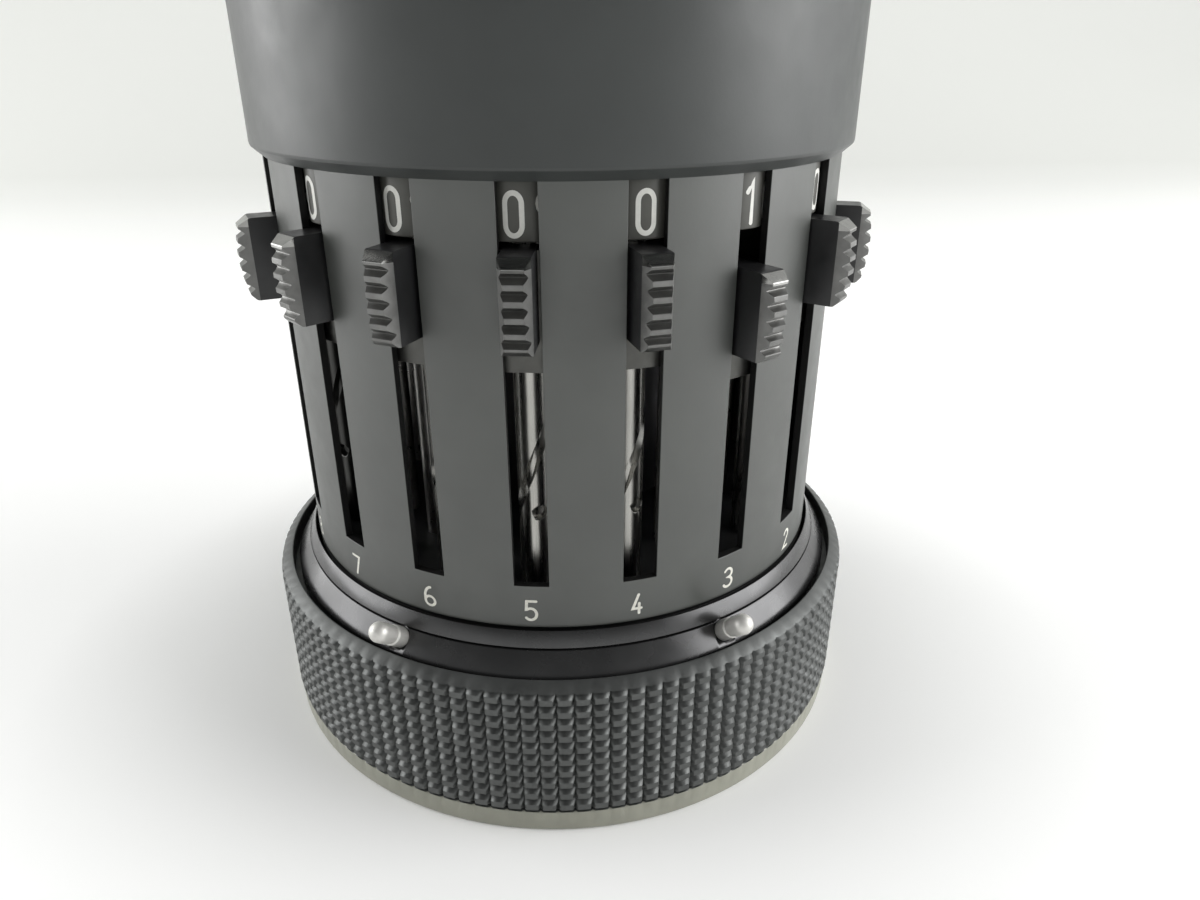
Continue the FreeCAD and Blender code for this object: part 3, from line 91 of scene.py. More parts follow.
def remap(tree, value, low=0.0, high=1.0, start=0.0, end=1.0):
    """Map Range node, of which each value is a number or another node's output."""
    node = tree.nodes.new("ShaderNodeMapRange")
    values = {"From Min": low, "From Max": high, "To Min": start, "To Max": end, "Value": value}
    for name, given in values.items():
        if isinstance(given, bpy.types.NodeSocket):
            tree.links.new(given, node.inputs[name])
        else:
            node.inputs[name].default_value = given
    return node.outputs["Result"]


class Paint:
    """A procedural material, whose colour, roughness and relief vary with noise in object space."""

    def __init__(self, name, colour, roughness, metallic=0.0, specular=0.5):
        self.material = bpy.data.materials.new(name)
        self.material.use_nodes = True
        self.tree = self.material.node_tree
        self.shader = self.tree.nodes["Principled BSDF"]
        self.colour = colour
        self.shader.inputs["Roughness"].default_value = roughness
        self.shader.inputs["Metallic"].default_value = metallic
        self.shader.inputs["Specular IOR Level"].default_value = specular
        self.place = self.tree.nodes.new("ShaderNodeTexCoord").outputs["Object"]
        self.normal = None

    def noise(self, scale, stretch=(1, 1, 1), detail=3.0):
        """Noise from 0 to 1. The scale is in features per metre."""
        place = self.place
        if stretch != (1, 1, 1):
            mapping = self.tree.nodes.new("ShaderNodeMapping")
            mapping.inputs["Scale"].default_value = stretch
            self.tree.links.new(place, mapping.inputs["Vector"])
            place = mapping.outputs["Vector"]
        node = self.tree.nodes.new("ShaderNodeTexNoise")
        node.inputs["Scale"].default_value = scale
        node.inputs["Detail"].default_value = detail
        node.inputs["Roughness"].default_value = 0.55
        self.tree.links.new(place, node.inputs["Vector"])
        return node.outputs["Fac"]

    def tint(self, fac, other):
        """Mixes the colour so far with another one."""
        node = self.tree.nodes.new("ShaderNodeMix")
        node.data_type = "RGBA"
        socket = self.shader.inputs["Base Color"]
        if socket.is_linked:
            self.tree.links.new(socket.links[0].from_socket, node.inputs["A"])
        else:
            node.inputs["A"].default_value = socket.default_value
        node.inputs["B"].default_value = (*other, 1)
        self.tree.links.new(fac, node.inputs["Factor"])
        self.tree.links.new(node.outputs["Result"], socket)

    def vary(self, scale, spread, stretch=(1, 1, 1)):
        """Lighter and darker patches. The spread is the share of the colour that they differ by."""
        low = [c * (1 - spread) for c in self.colour]
        high = [min(1.0, c * (1 + spread)) for c in self.colour]
        self.shader.inputs["Base Color"].default_value = (*low, 1)
        self.tint(remap(self.tree, self.noise(scale, stretch), 0.3, 0.7), high)

    def gloss(self, scale, low, high, stretch=(1, 1, 1)):
        """Roughness between two values."""
        fac = remap(self.tree, self.noise(scale, stretch), 0.3, 0.7, low, high)
        self.tree.links.new(fac, self.shader.inputs["Roughness"])

    def relief(self, scale, depth, stretch=(1, 1, 1)):
        """Bumps of that depth in millimetres."""
        node = self.tree.nodes.new("ShaderNodeBump")
        node.inputs["Strength"].default_value = 1.0
        node.inputs["Distance"].default_value = depth * MM
        self.tree.links.new(self.noise(scale, stretch, 2.0), node.inputs["Height"])
        if self.normal is not None:
            self.tree.links.new(self.normal, node.inputs["Normal"])
        self.normal = node.outputs["Normal"]
        self.tree.links.new(self.normal, self.shader.inputs["Normal"])


# Every finish of the object: colour, roughness, metallic and specular, then the scale and spread of
# its patches, the scale and range of its roughness, and the scale and depth of its bumps
FINISHES = {
    "sleeve_lacquer": (((0.047, 0.051, 0.046), 0.36, 0.0, 1.0), (160, 0.1), (420, 0.4, 0.5),
        (5200, 0.0035), (700, 0.004)),
    "collar_lacquer": (((0.039, 0.043, 0.042), 0.4), (150, 0.1), (380, 0.36, 0.45), (5200, 0.003),
        (700, 0.004)),
    "cup_lacquer": (((0.097, 0.101, 0.099), 0.44, 0.7), (350, 0.14), (900, 0.4, 0.52), (4200, 0.005)),
    "foot_lacquer": (((0.3, 0.3, 0.25), 0.36), (350, 0.08), (900, 0.32, 0.42), (2200, 0.006)),
    "ring_lacquer": (((0.075, 0.075, 0.076), 0.26, 0.85), (260, 0.1), (300, 0.22, 0.32), (900, 0.002)),
    "pin_steel": (((0.66, 0.65, 0.62), 0.5, 0.55), (900, 0.05), (2500, 0.44, 0.56), (4000, 0.004)),
    "knob_lacquer": (((0.14, 0.14, 0.135), 0.34, 0.95), (800, 0.12), (1500, 0.29, 0.4), (4200, 0.005),
        (1200, 0.006)),
    # painted sheen: the lighter paint on the knobs' slanting planes and on the lands between their
    # grooves
    "knob_painted_sheen": (((0.17, 0.17, 0.165), 0.36, 0.5), (900, 0.16), (1500, 0.36, 0.5), (4200, 0.005)),
    "knob_side": (((0.013, 0.013, 0.014), 0.34), (800, 0.12), (1500, 0.3, 0.42), (4200, 0.005)),
    "knob_top": (((0.3, 0.3, 0.29), 0.17, 1.0), (800, 0.1), (1500, 0.14, 0.21), (4200, 0.004)),
    # painted shade: near-black for the sleeve's inner side, its slots' edges and the groove at its foot
    "sleeve_painted_shade": (((0.01, 0.01, 0.01), 0.5, 0.0, 0.25), (800, 0.12), (1500, 0.42, 0.56), (4200, 0.004)),
    "slide_plate": (((0.085, 0.085, 0.08), 0.4, 1.0), (600, 0.12), (900, 0.3, 0.48),
        (2600, 0.004, (1, 1, 0.15))),
    "gear_brass": (((0.62, 0.5, 0.27), 0.34, 1.0), (900, 0.1), (1500, 0.28, 0.42), (3000, 0.004)),
    "shaft_steel": (((0.36, 0.355, 0.335), 0.32, 1.0), (1500, 0.16, (1, 1, 0.06)),
        (2200, 0.2, 0.36, (1, 1, 0.05)), (3600, 0.004, (1, 1, 0.04))),
    # painted shade: near-black steel, given only to setting shaft 8 where it lies in shadow
    "shaft_dark": (((0.05, 0.05, 0.048), 0.36, 1.0), (1500, 0.16, (1, 1, 0.06)),
        (2200, 0.28, 0.42, (1, 1, 0.05))),
    "drum_lacquer": (((0.068, 0.068, 0.06), 0.46), (500, 0.1), (900, 0.42, 0.52), (4200, 0.004)),
    "figure_white": (((0.74, 0.74, 0.7), 0.5), (3500, 0.04), (3000, 0.45, 0.6)),
    "number_white": (((0.78, 0.77, 0.7), 0.5), (4500, 0.1), (3000, 0.45, 0.6)),
    "figure_black": (((0.02, 0.02, 0.02), 0.5), (3500, 0.1), (3000, 0.45, 0.6)),
    "frame_aluminium": (((0.66, 0.66, 0.66), 0.36, 1.0), (300, 0.06), (500, 0.3, 0.45), (2500, 0.004)),
    "frame_steel": (((0.5, 0.49, 0.47), 0.32, 1.0), (600, 0.1), (900, 0.26, 0.4),
        (2500, 0.003, (1, 1, 0.1))),
    # painted shade: near-black metal for the stepped drum and the bell inside, which are seen only in
    # shadow
    "drum_metal": (((0.06, 0.06, 0.062), 0.42, 1.0), (400, 0.08), (600, 0.3, 0.46),
        (2600, 0.004, (1, 1, 6))),
    # dark paint of the plates: black for the base plate, and on the lower bearing plate inside a
    # painted shade
    "plate_lacquer_and_shade": (((0.03, 0.031, 0.032), 0.45), (250, 0.15), (500, 0.4, 0.55), (2600, 0.01)),
    "carriage_lacquer": (((0.028, 0.029, 0.03), 0.36), (200, 0.12), (380, 0.32, 0.42), (5200, 0.003),
        (700, 0.004)),
    "dial_black": (((0.018, 0.018, 0.019), 0.4), (900, 0.15), (1200, 0.34, 0.46), (3000, 0.003)),
    "dial_white": (((0.8, 0.79, 0.75), 0.42), (900, 0.04), (1200, 0.36, 0.5), (3000, 0.003)),
    "crank_lacquer": (((0.018, 0.018, 0.019), 0.22), (300, 0.15), (420, 0.17, 0.28), (700, 0.003)),
    "lever_lacquer": (((0.03, 0.031, 0.032), 0.34), (300, 0.12), (500, 0.3, 0.4), (3000, 0.004)),
    "edge_steel": (((0.7, 0.69, 0.67), 0.28, 1.0), (900, 0.08), (1500, 0.22, 0.36),
        (2600, 0.004, (1, 1, 4))),
    "spring_steel": (((0.4, 0.4, 0.4), 0.3, 1.0), (1500, 0.12), (2000, 0.25, 0.4), (4000, 0.004)),
    # painted shade: near-black for the hollows of the marker pins' seats
    "hollow_painted_shade": (((0.01, 0.01, 0.01), 0.6), (800, 0.3), (1500, 0.5, 0.7)),
}


def paints():
    made = {}
    for name, (base, patches, shine, *bumps) in FINISHES.items():
        paint = Paint(name, *base)
        paint.vary(*patches)
        paint.gloss(*shine)
        for bump in bumps:
            paint.relief(*bump)
        made[name] = paint.material
    return made


PAINT = paints()


# Mesh tools

def put(name, data):
    """New object in the scene."""
    thing = bpy.data.objects.new(name, data)
    bpy.context.scene.collection.objects.link(thing)
    return thing


class Shape:
    """Vertices in millimetres, faces, and the paint number of each face."""

    def __init__(self):
        self.points, self.faces, self.numbers = [], [], []

    def add(self, points, faces, number=0):
        """The paint number is one for all faces, or a list with one for each."""
        first = len(self.points)
        self.points += [tuple(p) for p in points]
        self.faces += [tuple(first + i for i in face) for face in faces]
        self.numbers += number if isinstance(number, list) else [number] * len(faces)
        return self

    def join(self, other, place=None, number=None):
        points = other.points if place is None else [place @ Vector(p) for p in other.points]
        return self.add(points, other.faces, other.numbers if number is None else number)

    def mesh(self, name, materials, sharp=32):
        mesh = bpy.data.meshes.new(name)
        points = [(x * MM, y * MM, (z + DATUM) * MM) for x, y, z in self.points]
        mesh.from_pydata(points, [], self.faces)
        for material in materials:
            mesh.materials.append(PAINT[material])
        mesh.polygons.foreach_set("material_index", self.numbers)
        work = bmesh.new()
        work.from_mesh(mesh)
        bmesh.ops.remove_doubles(work, verts=work.verts, dist=1e-7)
        closed = {face for face in work.faces if all(edge.is_manifold for edge in face.edges)}
        bmesh.ops.recalc_face_normals(work, faces=list(closed))
        work.to_mesh(mesh)
        work.free()
        mesh.polygons.foreach_set("use_smooth", [True] * len(mesh.polygons))
        mesh.set_sharp_from_angle(angle=math.radians(sharp))
        mesh.update()
        return mesh

    def piece(self, name, materials, body, replaces=(), slot=None, sharp=32, bevel=0.0, steps=2):
        """Puts the shape into the scene, on a body of the frame. The bevel is in millimetres."""
        thing = put(name, self.mesh(name, materials, sharp))
        if bevel:
            edge = thing.modifiers.new("edges", "BEVEL")
            edge.width = bevel * MM
            edge.segments = steps
            edge.limit_method = "ANGLE"
            edge.angle_limit = math.radians(38)
            edge.harden_normals = True
            edge.use_clamp_overlap = True
        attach(thing, body)
        if replaces:
            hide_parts(*replaces)
        return thing


def belts(width, rows, total):
    """Four-sided faces between rings of points, each ring joined to the one after it."""
    faces = []
    for j in range(rows):
        here, there = j * width, (j + 1) % total * width
        for i in range(width):
            n = (i + 1) % width
            faces.append((here + i, here + n, there + n, there + i))
    return faces


def rounded(points, steps=5):
    """Line with its corners rounded: a third number of a point is the radius."""
    line = []
    count = len(points)
    for index, point in enumerate(points):
        corner = Vector(point[:2])
        if len(point) < 3:
            line.append(tuple(corner))
            continue
        before = Vector(points[index - 1][:2]) - corner
        after = Vector(points[(index + 1) % count][:2]) - corner
        half = before.angle(after) / 2
        reach = min(point[2] / math.tan(half), 0.49 * before.length, 0.49 * after.length)
        radius = reach * math.tan(half)
        inwards = (before.normalized() + after.normalized()).normalized()
        middle = corner + inwards * radius / math.sin(half)
        start = corner + before.normalized() * reach - middle
        sweep = start.angle_signed(corner + after.normalized() * reach - middle)
        for step in range(steps + 1):
            angle = -sweep * step / steps
            c, s = math.cos(angle), math.sin(angle)
            line.append((middle.x + start.x * c - start.y * s,
                         middle.y + start.x * s + start.y * c))
    return line


def turned(profile, count=192, closed=True, number=0):
    """A profile of (radius, height) turned round the Z axis."""
    shape = Shape()
    rings = []
    points = []
    for radius, height in profile:
        if radius < 1e-6:
            rings.append([len(points)] * count)
            points.append((0, 0, height))
        else:
            rings.append([len(points) + i for i in range(count)])
            points += [tuple(polar(radius, 360 * i / count, height)) for i in range(count)]
    faces = []
    pairs = len(profile) if closed else len(profile) - 1
    for j in range(pairs):
        here, there = rings[j], rings[(j + 1) % len(profile)]
        for i in range(count):
            k = (i + 1) % count
            face = []
            for v in (here[i], here[k], there[k], there[i]):
                if v not in face:
                    face.append(v)
            if len(face) > 2:
                faces.append(tuple(face))
    return shape.add(points, faces, number)


def ribbed(lines, stations, count, start=0.0):
    """Rings of (crown radius, floor radius, height) with upright ribs, whose points are at
    (share of the pitch, share of the rise)."""
    points = []
    for top, floor, height in lines:
        for i in range(count):
            for share, rise in stations:
                radius = floor + (top - floor) * rise
                points.append(polar(radius, 360 * (i + share) / count + start, height))
    return Shape().add(points, belts(count * len(stations), len(lines), len(lines)))


def prism(loops, low, high, number=0):
    """Flat outlines of (x, y), the first one outside and the others holes, made solid."""
    shape = Shape()
    flat = [[Vector((x, y, 0)) for x, y in loop] for loop in loops]
    triangles = tessellate_polygon(flat)
    line = [p for loop in flat for p in loop]
    count = len(line)
    points = [(p.x, p.y, low) for p in line] + [(p.x, p.y, high) for p in line]
    faces = [tuple(t) for t in triangles]
    faces += [tuple(count + i for i in reversed(t)) for t in triangles]
    first = 0
    for loop in flat:
        for i in range(len(loop)):
            a, b = first + i, first + (i + 1) % len(loop)
            faces.append((a, b, count + b, count + a))
        first += len(loop)
    return shape.add(points, faces, number)


def block(x0, x1, y0, y1, z0, z1, number=0):
    return prism([[(x0, y0), (x1, y0), (x1, y1), (x0, y1)]], z0, z1, number)


def circle(radius, count=64, x=0.0, y=0.0):
    angles = [math.tau * i / count for i in range(count)]
    return [(x + radius * math.cos(a), y + radius * math.sin(a)) for a in angles]


def point_at(line, axis, value):
    """Number of the first point of a line with that value on an axis."""
    return next(i for i, p in enumerate(line) if abs(p[axis] - value) < 1e-4)


def shell(outer, inner, cuts, step, wall=0):
    """Wall between two profiles of equal length, turned round the axis, with parallel-sided
    openings. A cut is (direction, half width, first point, last point). The inner side and the
    openings' edges get the paint number wall."""
    places = []
    ordered = sorted((c[0] % 360, *c[1:]) for c in cuts)
    reach = [math.degrees(math.asin(c[1] / min(outer[c[2]][0], inner[c[2]][0]))) for c in ordered]
    for index, cut in enumerate(ordered):
        for share in (-1, -0.5, 0, 0.5, 1):
            places.append((cut[0], share * cut[1], index if share < 1 else None))
        start = cut[0] + reach[index]
        follower = (index + 1) % len(ordered)
        end = ordered[follower][0] - reach[follower] + (360 if follower <= index else 0)
        count = max(1, int((end - start) / step))
        places += [(start + (end - start) * i / count, 0, None) for i in range(1, count)]
    total = len(places)
    points, faces, numbers, known = [], [], [], {}

    def vertex(i, j, side):
        key = (i % total, j, side)
        if key not in known:
            radius, height = (outer if side else inner)[j]
            direction, offset, _ = places[key[0]]
            angle = direction + math.degrees(math.asin(offset / radius))
            known[key] = len(points)
            points.append(tuple(polar(radius, angle, height)))
        return known[key]

    def is_open(i, j):
        mark = places[i % total][2]
        return mark is not None and ordered[mark][2] <= j < ordered[mark][3]

    rows = len(outer) - 1
    for i in range(total):
        for j in range(rows):
            if is_open(i, j):
                continue
            low, high, n = j, j + 1, i + 1
            for side in (0, 1):
                quad = [vertex(*corner, side) for corner in ((i, low), (n, low), (n, high), (i, high))]
                faces.append(tuple(quad if side else reversed(quad)))
                numbers.append(0 if side else wall)
            edges = [(is_open(n, j), ((n, low, 1), (n, low, 0), (n, high, 0), (n, high, 1))),
                     (is_open(i - 1, j), ((i, low, 0), (i, low, 1), (i, high, 1), (i, high, 0))),
                     (j == 0 or is_open(i, j - 1),
                      ((i, low, 0), (n, low, 0), (n, low, 1), (i, low, 1))),
                     (j == rows - 1 or is_open(i, j + 1),
                      ((i, high, 1), (n, high, 1), (n, high, 0), (i, high, 0)))]
            for shown, corners in edges:
                if shown:
                    faces.append(tuple(vertex(*corner) for corner in corners))
                    numbers.append(wall)
    return Shape().add(points, faces, numbers)


# Figures

def bow(x, y, rx, ry, start, end, count=14):
    """Arc of a stroke, from one angle to another."""
    angles = [math.radians(start + (end - start) * i / count) for i in range(count + 1)]
    return [(x + rx * math.cos(a), y + ry * math.sin(a)) for a in angles]


# Strokes of each figure in a field one wide and two high
FIGURES = {
    0: [bow(0.5, 1.5, 0.5, 0.5, 0, 180) + bow(0.5, 0.5, 0.5, 0.5, 180, 360) + [(1.0, 1.5)]],
    1: [[(0.22, 1.55), (0.62, 2.0), (0.62, 0.0)]],
    2: [bow(0.5, 1.5, 0.47, 0.5, 165, -38) + [(0.0, 0.0), (1.0, 0.0)]],
    3: [bow(0.46, 1.52, 0.45, 0.48, 150, -90) + bow(0.44, 0.52, 0.52, 0.52, 90, -150)],
    4: [[(0.66, 2.0), (0.0, 0.52), (1.0, 0.52)], [(0.74, 1.05), (0.74, 0.0)]],
    5: [[(0.95, 2.0), (0.14, 2.0), (0.08, 1.1)] + bow(0.46, 0.62, 0.52, 0.62, 128, -140)],
    6: [bow(0.72, 0.95, 0.72, 1.05, 100, 172) + bow(0.5, 0.5, 0.5, 0.5, 180, 540)],
    7: [[(0.0, 2.0), (1.0, 2.0), (0.38, 0.0)]],
    8: [bow(0.5, 1.53, 0.42, 0.45, -90, 270), bow(0.5, 0.54, 0.5, 0.53, 90, 450)],
    9: [bow(0.28, 1.05, 0.72, 1.05, -80, -8) + bow(0.5, 1.5, 0.5, 0.5, 0, 360)],
}


def stroke(line, width):
    """Ribbon of that width along a line, with round ends: points and faces in the plane."""
    clean = [Vector(line[0])]
    for p in line[1:]:
        if (Vector(p) - clean[-1]).length > 1e-4:
            clean.append(Vector(p))
    closed = (clean[0] - clean[-1]).length < 1e-3
    if closed:
        clean.pop()
    count = len(clean)
    left, right = [], []
    for i, p in enumerate(clean):
        ahead = clean[(i + 1) % count] - p if closed or i < count - 1 else p - clean[i - 1]
        behind = p - clean[i - 1] if closed or i else ahead
        a, b = ahead.normalized(), behind.normalized()
        side = Vector((-(a.y + b.y), a.x + b.x)).normalized()
        reach = width / 2 / max(0.45, side.dot(Vector((-a.y, a.x))))
        left.append(p + side * reach)
        right.append(p - side * reach)
    points = left + right
    pairs = count if closed else count - 1
    faces = [(i, (i + 1) % count, count + (i + 1) % count, count + i) for i in range(pairs)]
    if not closed:
        for end, inner in ((0, 1), (count - 1, count - 2)):
            out = (clean[end] - clean[inner]).normalized()
            first = len(points)
            base = math.atan2(out.y, out.x)
            arc = [clean[end] + Vector((math.cos(base + t), math.sin(base + t))) * width / 2
                   for t in (math.pi * (k / 8 - 0.5) for k in range(1, 8))]
            points += arc
            corners = [count + end, end] if end else [end, count + end]
            faces.append(tuple([corners[0]] + list(range(first, first + len(arc))) + [corners[1]]))
    return [(p.x, p.y) for p in points], faces


def figure(number, width, height, pen):
    """Strokes of a figure centred on (0, 0), as (points, faces) in the plane."""
    w, h = width - pen, height - pen
    return [stroke([((x - 0.5) * w, (y / 2 - 0.5) * h) for x, y in line], pen)
            for line in FIGURES[number]]


def on_cylinder(made, radius, angle, height, number=0):
    """Lays flat strokes on an upright cylinder round the Z axis, each a hair above the last."""
    shape = Shape()
    for layer, (points, faces) in enumerate(made):
        r = radius + 0.012 + 0.004 * layer
        laid = [polar(r, angle + math.degrees(x / radius), height + y) for x, y in points]
        shape.add(laid, faces, number)
    return shape


# Base

def knurled_cup():
    """Cup with 124 columns and ten rows of square pyramids with cut tops."""
    columns, rows = 124, 10
    low, high = 1.08, 12.4
    pitch = (high - low) / rows
    row_floor, column_floor, crown = 26.0, 26.14, 26.5
    foot = rounded([(24.6, -DATUM), (26.33, -DATUM, 0.3), (26.35, 0.9)], 8)
    lines = [(23.6, 23.6, -DATUM), (24.6, 24.6, -DATUM)]
    lines += [(r, r, z) for r, z in foot[1:-1]]
    rim = len(lines)
    lines += [(26.35, 26.34, 0.96), (26.36, 26.18, 1.05)]
    for index in range(rows):
        base = low + index * pitch
        lines.append((row_floor, row_floor, base))
        for share, worn in ((0.27, 0.03), (0.5, 0.0), (0.73, 0.03)):
            lines.append((crown - worn, column_floor, base + share * pitch))
    lines += [(row_floor, row_floor, high), (26.34, 26.2, 12.5), (26.2, 26.18, 12.62)]
    shoulder = rounded([(26.2, 12.62), (25.42, 13.11, 0.08), (25.35, 13.05, 0.04), (25.35, 11.4)], 3)
    bore = [(22.855, 11.4), (22.855, 10.2), (SLEEVE_BORE, 10.2), (SLEEVE_BORE, 9.4), (23.6, 9.4)]
    lines += [(r, r, z) for r, z in shoulder[1:] + bore]
    stations = ((0.0, 0.0), (0.15, 0.94), (0.5, 1.0), (0.85, 0.94))
    shape = ribbed(lines, stations, columns, FRONT)
    width = columns * len(stations)
    shape.numbers = [1 if 0 < i // width <= rim else 0 for i in range(len(shape.faces))]
    shape.piece("knurled_cup", ["cup_lacquer", "foot_lacquer"], "housing", ["base_cup"],
                "black_lacquer", sharp=50)


def screw_heads():
    """Slotted screws in the base plate, seen from below."""
    shape = Shape()
    head, slot = 1.9, 0.25
    half = math.degrees(math.asin(slot / head))
    shank = [(0.0, 0.7), (head, 0.7), (head, 1.0), (1.0, 1.0), (1.0, 5.2), (0.0, 5.2)]
    for index in range(3):
        place = move(*polar(18.0, 120 * index, -DATUM))
        for side in (0, 180):
            arc = [polar(head, side + half + (180 - 2 * half) * i / 24)[:2] for i in range(25)]
            shape.join(prism([arc], 0.2, 0.7), place @ turn(20 * index))
        shape.join(turned(shank, 48, False), place)
    shape.piece("slotted_screws", ["edge_steel"], "housing", ["base_screws"], "turned_steel",
                bevel=0.06)


def rings():
    """Bevelled ring round the sleeve's foot, and the ring that carries the marker pins."""
    profile = rounded([(22.855, 11.4), (23.305, 11.4), (23.305, 14.51), (23.705, 14.51, 0.05),
                       (23.08, 15.69, 0.06), (23.02, 15.62, 0.03), (23.0, 14.9), (22.855, 14.8)], 4)
    turned(profile, 360).piece("bevelled_ring", ["ring_lacquer"], "housing", ["bevel_ring"],
                               "gloss_black")
    profile = rounded([(23.355, 11.55), (24.855, 11.55, 0.05), (24.855, 12.65, 0.16),
                       (23.705, 14.36, 0.06), (23.355, 14.36, 0.03)], 6)
    # the ring's second paint is the near-black painted shade for the pins' seats
    ring = turned(profile, 360).piece("decimal_marker_ring", ["ring_lacquer", "hollow_painted_shade"],
                                      "decimal_ring", ["marker_ring"], "gloss_black")
    lean = [marker_place(angle) for angle in (324.5, 26.3)]
    seat = 0.84
    hole = turned([(0.0, -0.3), (seat, -0.3), (seat, 1.5), (0.0, 1.5)], 48, False)
    for index, place in enumerate(lean):
        cut_out(ring, Shape().join(hole, place), "seat_%d" % index)
    head, neck, dome = 0.8, 0.70, 2.63
    pin = rounded([(0.0, -0.4), (head, -0.4), (head, 1.1, 0.06), (neck, 1.2, 0.05), (neck, 1.62, 0.05),
                   (head, 1.74, 0.08), (head, dome)], 4)
    pin += [(x, dome + y) for x, y in (polar(head, a)[:2] for a in range(9, 90, 9))]
    pin.append((0.0, dome + head))
    shape = Shape()
    for place in lean:
        shape.join(turned(pin, 56, False), place)
    shape.piece("decimal_marker_pins", ["pin_steel"], "decimal_ring", ["marker_pins"],
                "bright_steel", sharp=40)


def marker_place(angle):
    """Where a marker pin's axis leaves the ring, and which way it leans."""
    return turn(angle + FRONT) @ move(24.142, 0, 13.71) @ turn(49, "Y")


def cut_out(thing, shape, name):
    """Takes a shape out of a piece and keeps the result in its mesh."""
    mesh = shape.mesh(name, [])
    tool = put(name, mesh)
    modifier = thing.modifiers.new(name, "BOOLEAN")
    modifier.operation = "DIFFERENCE"
    modifier.solver = "EXACT"
    modifier.object = tool
    bpy.context.view_layer.update()
    made = bpy.data.meshes.new_from_object(thing.evaluated_get(bpy.context.evaluated_depsgraph_get()))
    thing.modifiers.remove(modifier)
    old = thing.data
    thing.data = made
    bpy.data.meshes.remove(old)
    bpy.data.objects.remove(tool)
    bpy.data.meshes.remove(mesh)


# Sleeve and collar

def slotted_sleeve():
    """Thin tube with eight upright slots, and a groove round its foot. The inner side, the slots'
    edges and the groove get a near-black paint, a painted shade.
    """
    groove = 22.42
    outer = [(SLEEVE_RADIUS, 10.2), (SLEEVE_RADIUS, 15.2), (groove, 15.25), (groove, 15.66)]
    outer += [(SLEEVE_RADIUS, z) for z in (15.74, 19.3, 29.0, 39.0, 48.6, 50.0)]
    inner = [(SLEEVE_BORE, z) for r, z in outer]
    slot_half, slot_foot, slot_head = 1.265, 5, 8
    cuts = [(slot_direction(k), slot_half, slot_foot, slot_head) for k in range(1, 9)]
    shape = shell(outer, inner, cuts, 1.7, 1)
    # the groove at the foot gets the near-black paint too, a painted shade
    for index, face in enumerate(shape.faces):
        levels = [shape.points[i][2] for i in face]
        if min(levels) > 15.1 and max(levels) < 15.8:
            shape.numbers[index] = 1
    shape.piece("slotted_sleeve", ["sleeve_lacquer", "sleeve_painted_shade"], "housing", ["setting_sleeve"],
                "satin_grey", bevel=0.05)


def smooth_collar():
    """Collar round the sleeve's head, with the reversing lever's opening at the back."""
    foot, head, opening_foot, opening_head = 47.35, 59.5, 51.75, 57.65
    outer = rounded([(22.76, foot), (23.5, 48.02, 0.12), (23.54, 48.2, 0.05), (23.54, opening_foot),
                     (23.54, opening_head), (23.54, head, 0.28), (23.1, head)], 4)
    inner = [(22.74, min(max(z, foot), head)) for r, z in outer]
    opening = (90, 1.35, point_at(outer, 1, opening_foot), point_at(outer, 1, opening_head))
    shape = shell(outer, inner, [opening], 1.5)
    shape.piece("smooth_collar", ["collar_lacquer"], "housing", ["collar"], "satin_grey", sharp=28)


def slot_numbers():
    """Plain numbers below the slots, each at its own angle from the front."""
    places = {7: -50.2, 6: -30.3, 5: -10.25, 4: 9.5, 3: 29.8, 2: 50.4, 1: 70.0, 8: -70.0}
    shape = Shape()
    for number, angle in sorted(places.items()):
        width = 0.88 if number == 4 else 1.06
        shape.join(on_cylinder(figure(number, width, 1.84, 0.22), SLEEVE_RADIUS, FRONT + angle, 17.2))
    shape.piece("slot_numbers", ["number_white"], "housing", slot="dial_white")


# Slides

def knob_shape():
    """Toothed knob on the +X side, as level cuts from the top down. Slanting planes take off its
    outer edges. These and the lands between the grooves get a lighter paint, a painted sheen,
    and the sides are black."""
    half, edge, slant, back = 1.025, 24.66, 2.1, 20.9
    top, foot, first_groove, last_groove = 43.35, 37.36, 42.72, 37.84
    groove, side_paint, sheen_paint, top_paint = 0, 4, 3, 5

    def crown_at(z):
        return 25.58 - 0.30 * ((z - 40.5) / 2.5) ** 2

    line = [(back, top)]
    line += rounded([(back, top), (24.52, top, 0.5), (25.37, 42.80, 0.12), (25.37, 42.6)], 8)[1:-1]
    steps, depth, groove_share = 160, 0.45, 0.66
    for i in range(steps + 1):
        z = first_groove - (first_groove - last_groove) * i / steps
        share = abs(2 * ((42.75 - z) % 1.0) - 1) / groove_share
        line.append((crown_at(z) - depth * max(0.0, 1 - share ** 1.35), z))
    line += rounded([line[-1], (25.22, 37.74, 0.12), (24.84, foot, 0.25), (back, foot)], 5)[1:]
    points, faces, numbers = [], [], []
    for r, z in line:
        side = half - max(0.0, r - edge) / slant
        points.append((min(r, edge), -half, z))
        points += [(r, y, z) for y in (-side, -side / 3, side / 3, side)]
        points.append((min(r, edge), half, z))
    count = 6
    below_crown = [crown_at(z) - r for r, z in line]
    for i in range(len(line) - 1):
        land = min(below_crown[i:i + 2]) < 0.012 and last_groove < line[i][1] < 42.6
        level = line[i + 1][1]
        for k in range(count - 1):
            a = i * count + k
            faces.append((a, a + 1, a + count + 1, a + count))
            if level > 43.3:
                numbers.append(side_paint)
            elif level > 42.7:
                numbers.append(top_paint)
            else:
                # the slanting planes and the lands get the lighter paint, a painted sheen
                numbers.append(sheen_paint if k in (0, count - 2) or land else groove)
    last = (len(line) - 1) * count
    faces.append(tuple(list(range(count)) + [last + k for k in reversed(range(count))]))
    faces.append(tuple(i * count for i in range(len(line))))
    faces.append(tuple(i * count + count - 1 for i in reversed(range(len(line)))))
    return Shape().add(points, faces, numbers + [groove, side_paint, side_paint])


